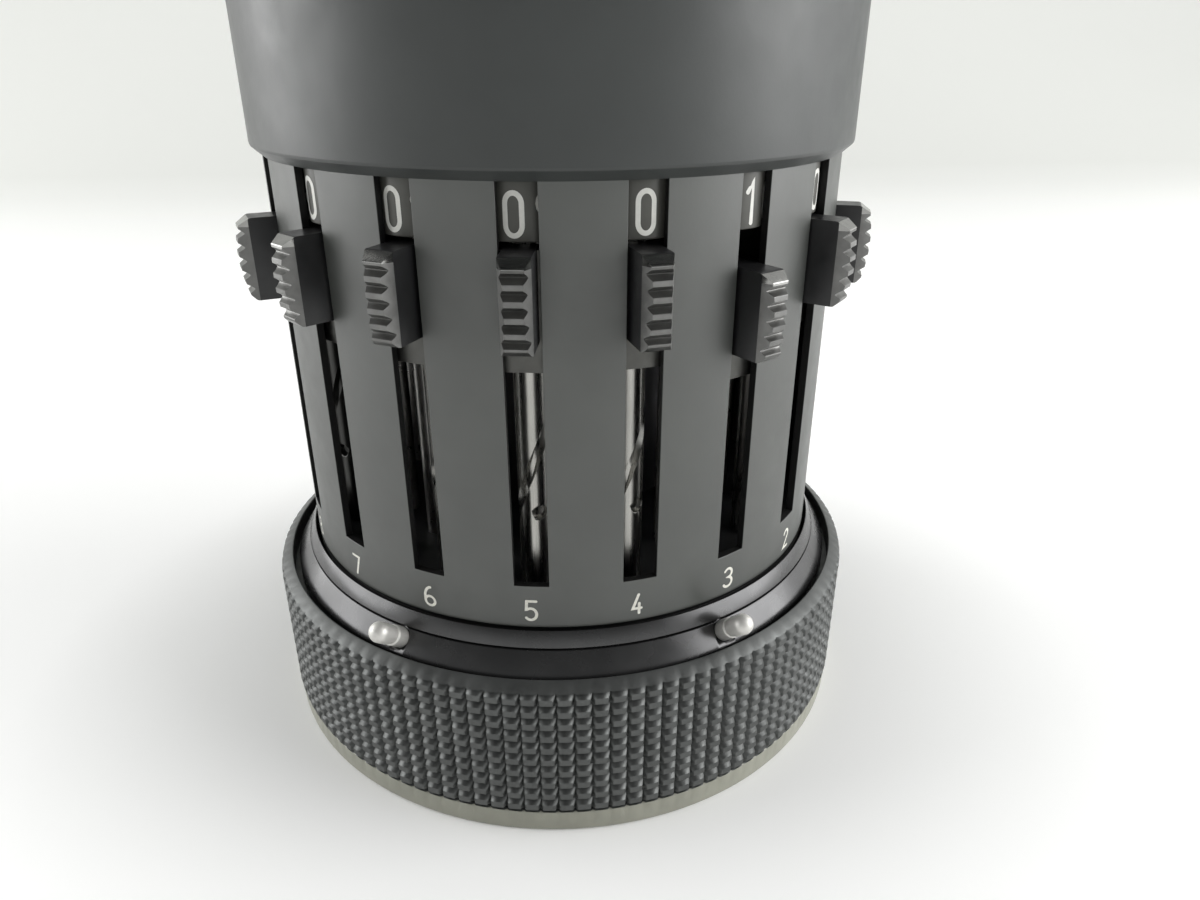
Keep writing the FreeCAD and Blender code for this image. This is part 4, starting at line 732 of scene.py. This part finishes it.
def gear_shape():
    """Ten-tooth gear with its grooved hub round the transmission shaft's axis."""
    line = []
    for k in range(10):
        base = 36.0 * k
        for radius, angle in ((1.75, -11.5), (2.36, -7.4), (2.45, -5.2), (2.45, 5.2), (2.36, 7.4),
                              (1.75, 11.5)):
            line.append(polar(radius, base + angle)[:2])
    bore = 0.85
    shape = prism([line, circle(bore, 40)], 40.45, 41.25)
    hub = rounded([(bore, 39.1), (1.9, 39.1, 0.08), (1.9, 39.5, 0.08), (1.25, 39.5), (1.25, 40.45),
                   (bore, 40.45)], 3)
    return shape.join(turned(hub, 48))


def slides():
    """Slides: knob, plate behind the slot, fork, gear and the pin in the shaft's groove."""
    knob = knob_shape()
    gear = gear_shape()
    back, front = 17.3, 21.885
    outline = rounded([(back, -2.3, 0.2), (front, -2.3, 0.12), (front, 2.3, 0.12), (back, 2.3, 0.2)], 4)
    plate = prism([outline, circle(1.3, 48, SHAFT_CIRCLE)], 35.25, 43.2)
    inner, outer, half, notch = 13.65, 17.8, 2.1, 1.3
    end = GEAR_CIRCLE + notch
    fork = prism([[(inner, -half), (outer, -half), (outer, half), (inner, half), (inner, notch),
                   (end, notch), (end, -notch), (inner, -notch)]], 39.55, 40.45)
    pin = turned([(0.0, 0.0), (0.3, 0.0), (0.3, 0.95), (0.0, 1.0)], 20, False)
    paint = ["knob_lacquer", "slide_plate", "gear_brass", "knob_painted_sheen", "knob_side", "knob_top"]
    for number in range(1, 9):
        place = turn(slot_direction(number)) @ move(0, 0, SHOWN_RISE.get(number, 0.0))
        shape = Shape().join(knob, place)
        shape.join(plate, place, 1)
        shape.join(fork, place, 1)
        shape.join(gear, place @ move(GEAR_CIRCLE, 0, 0), 2)
        shape.join(pin, place @ move(back, 0, 37.05) @ turn(90, "Y"), 1)
        shape.piece("setting_slide_%d" % number, paint, "slide_%d" % number, ["slider_%d" % number],
                    "knob_black", sharp=36)


# Setting shafts

def rod_shape():
    """Upright rod with a helical groove."""
    radius, depth, lead, facing = 1.25, 0.42, 19.5, 27.3
    half, floor = 19.0, 11.0
    stations = [(-half, 0.0), (-floor, depth), (0.0, depth), (floor, depth), (half, 0.0)]
    count = 46
    stations += [(half + (360 - 2 * half) * i / count, 0.0) for i in range(1, count)]
    low, high, groove_end = 17.35, 43.7, 39.3
    heights = [low + 0.2 * i for i in range(int((high - low) / 0.2) + 1)] + [high]
    points = []
    for z in heights:
        fade = min(1.0, max(0.0, (groove_end - z) / 0.5))
        for angle, cut in stations:
            points.append(polar(radius - cut * fade, angle + 360 * (z - facing) / lead, z))
    width = len(stations)
    faces = belts(width, len(heights) - 1, len(heights))
    faces.append(tuple(range(width)))
    last = (len(heights) - 1) * width
    faces.append(tuple(last + i for i in reversed(range(width))))
    shape = Shape().add(points, faces)
    for pivot in ([(0.0, 15.3), (0.7, 15.3), (0.75, 15.4), (0.75, 17.36), (0.0, 17.36)],
                  [(0.0, 47.79), (0.75, 47.79), (0.75, 50.35), (0.7, 50.45), (0.0, 50.45)]):
        shape.join(turned(pivot, 32, False))
    return shape


def drum_shape():
    """Digit drum with the figure 0 on the +X side and the others to its left."""
    radius = 3.2
    line = rounded([(0.0, 43.7), (radius, 43.7, 0.12), (radius, 47.8, 0.12), (0.0, 47.8)], 4)
    shape = turned(line, 96, False, 1)
    for digit in range(10):
        shape.join(on_cylinder(figure(digit, 1.34, 2.84, 0.32), radius, -DIGIT_STEP * digit, 45.38, 2))
    return shape


def setting_shafts():
    """Setting shafts with their drums, turned a little each as in the photograph."""
    rod = rod_shape()
    dimple = turned([(0.0, -0.45), (0.38, -0.38), (0.55, -0.1), (0.55, 0.5), (0.0, 0.5)], 32, False)
    drum = drum_shape()
    skew = {7: -7.5, 6: -8.0, 5: -5.0, 3: -1.5, 2: 2.5}
    for number in range(1, 9):
        shown = DIGIT_STEP if number == 3 else 0.0
        direction = slot_direction(number)
        place = move(*polar(SHAFT_CIRCLE, direction)) @ turn(direction + shown + skew.get(number, 0.0))
        shape = Shape().join(rod, place).join(drum, place)
        # shaft 8 gets the near-black paint, a painted shade for the shadow it lies in
        steel = "shaft_dark" if number == 8 else "shaft_steel"
        thing = shape.piece("setting_shaft_with_drum_%d" % number,
                            [steel, "drum_lacquer", "figure_white"], "shaft_%d" % number,
                            ["setting_shaft_%d" % number], "shaft_steel", sharp=30)
        tool = Shape().join(dimple, place @ turn(27) @ move(1.2, 0, 24.0) @ turn(90, "Y"))
        cut_out(thing, tool, "dimple_%d" % number)


# Carriage

TILT = math.radians(35)


def cone_height(radius):
    return 72.0 + (26.0 - radius) * math.tan(TILT)


def carriage_cover():
    """Reeded band, groove, cone with the dial windows, flat top with the boss, and hub."""
    reeds = 120
    bore = 24.2
    lines = [(bore, bore, 59.8), (25.6, 25.6, 59.8), (25.75, 25.72, 59.9), (25.86, 25.74, 60.15),
             (25.98, 25.62, 60.5), (26.0, 25.6, 64.5), (25.98, 25.62, 68.8), (25.86, 25.74, 69.15),
             (25.75, 25.72, 69.38), (25.3, 25.3, 69.75), (25.3, 25.3, 70.45), (bore, bore, 70.45)]
    stations = ((0.0, 0.0), (0.16, 0.55), (0.33, 0.93), (0.5, 1.0), (0.67, 0.93), (0.84, 0.55))
    shape = ribbed(lines, stations, reeds)

    drop = 0.8 / math.cos(TILT)
    window_foot, window_head, top, ceiling = 22.2, 18.9, 79.0, 77.8
    outer = rounded([(25.3, 70.45), (26.0, 70.8, 0.12), (26.0, cone_height(26.0), 0.35),
                     (24.9, cone_height(24.9)), (window_foot, cone_height(window_foot)),
                     (window_head, cone_height(window_head)), (16.0, cone_height(16.0), 0.35),
                     (13.0, top), (11.0, top)], 4)
    inner = []
    for r, z in outer:
        if z <= cone_height(26.0) + 0.2:
            inner.append((bore, min(z, cone_height(bore) - drop)))
        else:
            near = min(r, 24.15)
            inner.append((near, min(cone_height(near) - drop, ceiling)))
    ends = point_at(outer, 0, window_foot), point_at(outer, 0, window_head)
    shape.join(shell(outer, inner, [(dial_direction(i), 1.4, *ends) for i in range(17)], 2.0))
    hub = rounded([(11.0, top), (11.0, 80.6, 0.15), (10.2, 80.6, 0.15), (10.2, ceiling), (8.0, ceiling),
                   (8.0, 67.3), (5.55, 67.3), (5.55, 65.8), (9.0, 65.8, 0.2), (9.0, 76.6),
                   (11.0, 76.6)], 3)
    shape.join(turned(hub, 160))
    shape.piece("carriage_cover", ["carriage_lacquer"], "carriage", ["carriage_shell"],
                "carriage_black", sharp=34, bevel=0.05)


def dial_direction(index):
    return 140 + SLOT_STEP * index


def dial_place(index):
    return turn(dial_direction(index)) @ move(18.342, 0, 72.662) @ turn(125, "Y")


def dials():
    """Seventeen number dials: white figures on black, then black figures on white."""
    axle, drum = 0.6, 2.8
    profile = rounded([(0.0, -4.15), (axle, -4.15), (axle, -3.3), (1.7, -3.3, 0.1), (1.7, -2.2, 0.1),
                       (0.95, -2.2), (0.95, -1.7), (drum, -1.7, 0.12), (drum, 1.7, 0.12), (axle, 1.7),
                       (axle, 3.2), (0.0, 3.2)], 3)
    body = turned(profile, 72, False)
    for index in range(17):
        result = index < 11
        name = "result_dial_%d" % (11 - index) if result else "counter_dial_%d" % (index - 10)
        shape = Shape().join(body, dial_place(index))
        for digit in range(10):
            # the window shows the dial's upper side, and figures stand with their tops to the axis
            made = [([(-x, -y) for x, y in points], faces)
                    for points, faces in figure(digit, 1.15, 2.5, 0.26)]
            shape.join(on_cylinder(made, drum, 180 + DIGIT_STEP * digit, 0.0, 1), dial_place(index))
        colours = ["dial_black", "figure_white"] if result else ["dial_white", "figure_black"]
        shape.piece(name + "_figures", colours, name + "_axle", [name], colours[0])


def clearing_parts():
    """Clearing lever round the carriage's boss, and the finger ring hinged in its fork."""
    half, reach, rim = 3.5, 25.2, 15.4
    start = math.degrees(math.asin(half / rim))
    arc = [tuple(polar(rim, start + (360 - 2 * start) * i / 120))[:2] for i in range(121)]
    fork, root = 1.35, 22.5
    arm = rounded([arc[-1], (reach, -half, 0.8), (reach, -fork), (root, -fork, 0.4), (root, fork, 0.4),
                   (reach, fork), (reach, half, 0.8), arc[0]], 5)[1:-1]
    lever = prism([arc + arm, circle(11.05, 120)], 79.25, 80.85)
    shape = Shape().join(lever, turn(LEVER_DIRECTION))
    pin = rounded([(0.0, -3.55), (0.5, -3.55, 0.1), (0.5, 3.55, 0.1), (0.0, 3.55)], 3)
    hinge = turn(LEVER_DIRECTION) @ move(24.2, 0, 80.05) @ turn(90, "X")
    shape.join(turned(pin, 28, False, 1), hinge)
    shape.piece("clearing_lever_plate", ["lever_lacquer", "edge_steel"], "clearer",
                ["clearing_lever"], "lever_metal", bevel=0.18, steps=3)

    neck, size, middle = 1.15, 8.0, 33.9
    angle = math.degrees(math.asin(neck / size))
    around = [180 + angle + (360 - 2 * angle) * i / 90 for i in range(91)]
    loop = [(middle + x, y) for x, y in (polar(size, a)[:2] for a in around)]
    loop += [(23.5, neck), (23.35, 0.6), (23.35, -0.6), (23.5, -neck)]
    ring = prism([loop, circle(5.75, 80, middle)], 79.3, 80.8)
    Shape().join(ring, turn(LEVER_DIRECTION)).piece(
        "hinged_finger_ring", ["lever_lacquer"], "finger_loop", ["finger_ring"], "lever_metal",
        bevel=0.3, steps=3)


def crank_parts():
    """Crank: hub with its arm, and the knob that turns on the arm's pin."""
    hub = rounded([(3.0, 79.3), (7.4, 79.3, 0.1), (7.4, 81.75), (9.8, 81.75, 0.15), (9.8, 89.0, 0.9),
                   (3.2, 89.0), (3.0, 88.0)], 6)
    cap = rounded([(0.0, 88.02), (2.9, 88.02), (2.9, 88.75, 0.15), (0.0, 88.75)], 3)
    end = [(CRANK_REACH + x, y) for x, y in (polar(3.6, a)[:2] for a in range(-90, 91, 6))]
    pin = 1.6
    collar = rounded([(pin, 88.6), (3.0, 88.6), (3.0, 88.95, 0.08), (pin, 88.95)], 3)
    pin_line = [(0.0, 88.6), (pin, 88.6), (pin, 112.5), (1.4, 112.7), (0.0, 112.7)]
    place = turn(CRANK_DIRECTION)
    shape = Shape().join(turned(hub, 160), place).join(turned(cap, 64, False, 1), place)
    shape.join(prism([[(4.9, -4.6)] + end + [(4.9, 4.6)]], 84.8, 88.7), place)
    shape.join(turned(collar, 48, True, 1), place @ move(CRANK_REACH, 0, 0))
    shape.join(turned(pin_line, 40, False, 1), place @ move(CRANK_REACH, 0, 0))
    shape.piece("crank_with_hub", ["crank_lacquer", "edge_steel"], "drive", ["crank_arm"],
                "crank_black", bevel=0.35, steps=3)

    bore, waist, neck, crown, ball = 1.65, 3.3, 92.4, 110.1, 5.2
    foot = rounded([(bore, 89.3), (3.9, 89.3, 0.35), (3.9, 90.9, 0.35), (waist, neck)], 5)
    profile = foot[:-1]
    for i in range(25):
        share = i / 24
        swell = 0.35 * share + 0.65 * share * share
        profile.append((waist + (ball - waist) * swell, neck + (crown - neck) * share))
    profile += [(x, crown + y) for x, y in (polar(ball, a)[:2] for a in range(6, 90, 6))]
    profile += [(0.0, crown + ball), (0.0, 112.75), (bore, 112.75)]
    Shape().join(turned(profile, 96, True), move(*polar(CRANK_REACH, CRANK_DIRECTION))).piece(
        "crank_grip", ["crank_lacquer"], "handle", ["crank_knob"], "crank_black", sharp=50)


def carriage_coil():
    """Spring round the guide tube, made at the frame spring's length. The real one is pressed together
    when the carriage is lifted.
    """
    radius, wire, turns, steps, sides = 6.8, 0.3, 5, 60, 10
    bottom, top = (corner[2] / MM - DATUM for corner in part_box("carriage_spring"))
    slope = (top - bottom - 2 * wire) / turns / math.tau
    points = []
    for i in range(turns * steps + 1):
        angle = math.tau * i / steps
        out = Vector((math.cos(angle), math.sin(angle), 0))
        along = Vector((-radius * out.y, radius * out.x, slope)).normalized()
        up = along.cross(out)
        middle = out * radius + Vector((0, 0, bottom + wire + slope * angle))
        for k in range(sides):
            around = math.tau * k / sides
            points.append(middle + wire * (math.cos(around) * out + math.sin(around) * up))
    faces = belts(sides, turns * steps, turns * steps + 1)
    last = turns * steps * sides
    faces += [tuple(range(sides)), tuple(range(last, last + sides))]
    coil = Shape().add(points, faces).piece("spring_coil", ["spring_steel"], "carriage_guide",
                                            ["carriage_spring"])
    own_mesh(coil)


def reversing_parts():
    """Reversing lever: a ribbed button on its neck."""
    shape = block(20.735, 23.95, -0.95, 0.95, 52.15, 54.05, 1)
    back, front, half = 23.94, 26.14, 3.0
    button = rounded([(back, -half, 0.25), (front, -half, 0.5), (front, half, 0.5),
                      (back, half, 0.25)], 4)
    shape.join(prism([button], 51.35, 54.85))
    for k in range(7):
        y = -2.1 + 0.7 * k
        shape.join(block(26.0, 26.24, y - 0.16, y + 0.16, 51.7, 54.5))
    Shape().join(shape, turn(90)).piece(
        "reversing_button", ["knob_lacquer", "slide_plate"], "reverser", ["reversing_lever"],
        "knob_black", bevel=0.1)


# Inside

# Nodes that stay in view and aren't plain steel
NODE_PAINT = {
    # the lower bearing plate's dark paint is painted shade for the dark inside
    "base_plate": "plate_lacquer_and_shade",
    "lower_bearing_plate": "plate_lacquer_and_shade",
    "upper_bearing_plate": "frame_aluminium",
    "top_bearing_plate": "frame_aluminium",
    "tens_carry_levers": "gear_brass",
    # the stepped drum and the bell get near-black metal, a painted shade for the dark inside
    "stepped_drum": "drum_metal",
    "tens_bell": "drum_metal",
    "ratchet_wheel": "gear_brass",
    "dial_frame": "frame_aluminium",
}


def finish_nodes():
    """Gives each node of the frame its finish."""
    for name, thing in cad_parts.items():
        material = PAINT[NODE_PAINT.get(name, "frame_steel")]
        thing.data.materials.clear()
        thing.data.materials.append(material)
        thing.data.polygons.foreach_set("material_index", [0] * len(thing.data.polygons))


# Studio

def is_seen(tree):
    """One for rays from the camera or a mirroring or clear surface, and zero for others."""
    path = tree.nodes.new("ShaderNodeLightPath")
    kind = path.outputs["Is Camera Ray"]
    for name in ("Is Glossy Ray", "Is Transmission Ray"):
        either = tree.nodes.new("ShaderNodeMath")
        either.operation = "MAXIMUM"
        tree.links.new(kind, either.inputs[0])
        tree.links.new(path.outputs[name], either.inputs[1])
        kind = either.outputs[0]
    return kind


def pale_world():
    """White up to a little above the horizon and dimmer overhead where it is seen, directly or
    mirrored; as light it is weaker from the camera's side."""
    world = bpy.data.worlds.new("studio")
    bpy.context.scene.world = world
    world.use_nodes = True
    tree = world.node_tree
    background = tree.nodes["Background"]
    background.inputs["Color"].default_value = (0.985, 1.0, 0.99, 1)
    parts = tree.nodes.new("ShaderNodeSeparateXYZ")
    direction = tree.nodes.new("ShaderNodeTexCoord").outputs["Generated"]
    tree.links.new(direction, parts.inputs["Vector"])
    light = remap(tree, parts.outputs["Y"], -1.0, 0.2, 0.28, 0.50)
    seen = remap(tree, parts.outputs["Z"], 0.12, 0.50, 1.0, 0.10)
    tree.links.new(remap(tree, is_seen(tree), start=light, end=seen), background.inputs["Strength"])


def floor_paint():
    """White floor that rises to a backdrop, which is painted slightly darker, a painted shade. What is
    seen of it, directly or mirrored, is lifted towards white, hardly at the object's foot, so that
    the weak lift there is a painted shadow, and most far away."""
    paint = Paint("floor_white", (0.80, 0.80, 0.79), 0.8)
    paint.vary(6, 0.01)
    tree = paint.tree
    parts = tree.nodes.new("ShaderNodeSeparateXYZ")
    tree.links.new(paint.place, parts.inputs["Vector"])
    # painted shade: darker towards the backdrop
    paint.tint(remap(tree, parts.outputs["Y"], 0.14, 0.34), (0.49, 0.50, 0.465))
    away = tree.nodes.new("ShaderNodeVectorMath")
    away.operation = "LENGTH"
    tree.links.new(paint.place, away.inputs[0])
    # painted shadow: the lift is weakest near the object's foot
    near = remap(tree, away.outputs["Value"], 0.027, 0.052, 0.11, 0.36)
    lift = remap(tree, away.outputs["Value"], 0.6, 1.3, near, 0.66)
    glow = tree.nodes.new("ShaderNodeEmission")
    tree.links.new(remap(tree, is_seen(tree), end=lift), glow.inputs["Strength"])
    total = tree.nodes.new("ShaderNodeAddShader")
    tree.links.new(paint.shader.outputs[0], total.inputs[0])
    tree.links.new(glow.outputs[0], total.inputs[1])
    tree.links.new(total.outputs[0], tree.nodes["Material Output"].inputs["Surface"])
    return paint.material


def studio():
    """Pale floor that rises to a backdrop, a pale world and soft lamps at both sides."""
    bpy.context.scene.view_settings.view_transform = "Standard"
    pale_world()
    bend, half_width = 0.25, 3.0
    wall = 0.55
    sweep = [(-3.0, 0.0)] + [(-0.2 + 0.1 * i, 0.0) for i in range(6)]
    for angle in range(10, 91, 10):
        turned_by = math.radians(angle)
        sweep.append((wall - bend + bend * math.sin(turned_by), bend - bend * math.cos(turned_by)))
    sweep.append((wall, 1.2))
    points, faces = [], []
    for y, z in sweep:
        points += [(-half_width, y, z), (half_width, y, z)]
    for i in range(len(sweep) - 1):
        faces.append((2 * i, 2 * i + 1, 2 * i + 3, 2 * i + 2))
    mesh = bpy.data.meshes.new("floor")
    mesh.from_pydata(points, [], faces)
    mesh.polygons.foreach_set("use_smooth", [True] * len(mesh.polygons))
    mesh.materials.append(floor_paint())
    put("floor", mesh)

    lamp("lamp_left", (-0.50, 0.10, 0.16), 0.5, 2.5)
    lamp("lamp_right", (0.52, 0.06, 0.24), 0.6, 0.9)
    lamp("lamp_front", (0.50, -0.16, 0.22), 0.5, 2.8)


def lamp(name, place, size, power):
    data = bpy.data.lights.new(name, "AREA")
    data.shape = "DISK"
    data.size = size
    data.energy = power
    thing = put(name, data)
    thing.location = place
    thing.rotation_mode = "QUATERNION"
    thing.rotation_quaternion = (Vector((0, 0, 0.03)) - Vector(place)).to_track_quat("-Z", "Y")


def camera():
    """At the photograph's place and angle."""
    data = bpy.data.cameras.new("camera")
    data.sensor_fit = "HORIZONTAL"
    data.sensor_width = 36.0
    data.lens = 26.07
    data.clip_start = 0.002
    data.clip_end = 20.0
    place = (-5.110, -75.024, 54.555 + DATUM)
    forward = Vector((0.10457, 0.90028, -0.42257)).normalized()
    right = forward.cross(Vector((0, 0, 1))).normalized()
    up = right.cross(forward)
    axes = Matrix((right, up, -forward)).transposed().to_4x4()
    thing = put("camera", data)
    thing.matrix_world = move(*(MM * c for c in place)) @ axes
    bpy.context.scene.camera = thing


def main():
    knurled_cup()
    screw_heads()
    rings()
    slotted_sleeve()
    smooth_collar()
    slot_numbers()
    slides()
    setting_shafts()
    carriage_cover()
    dials()
    clearing_parts()
    crank_parts()
    reversing_parts()
    carriage_coil()
    finish_nodes()
    studio()
    camera()


main()
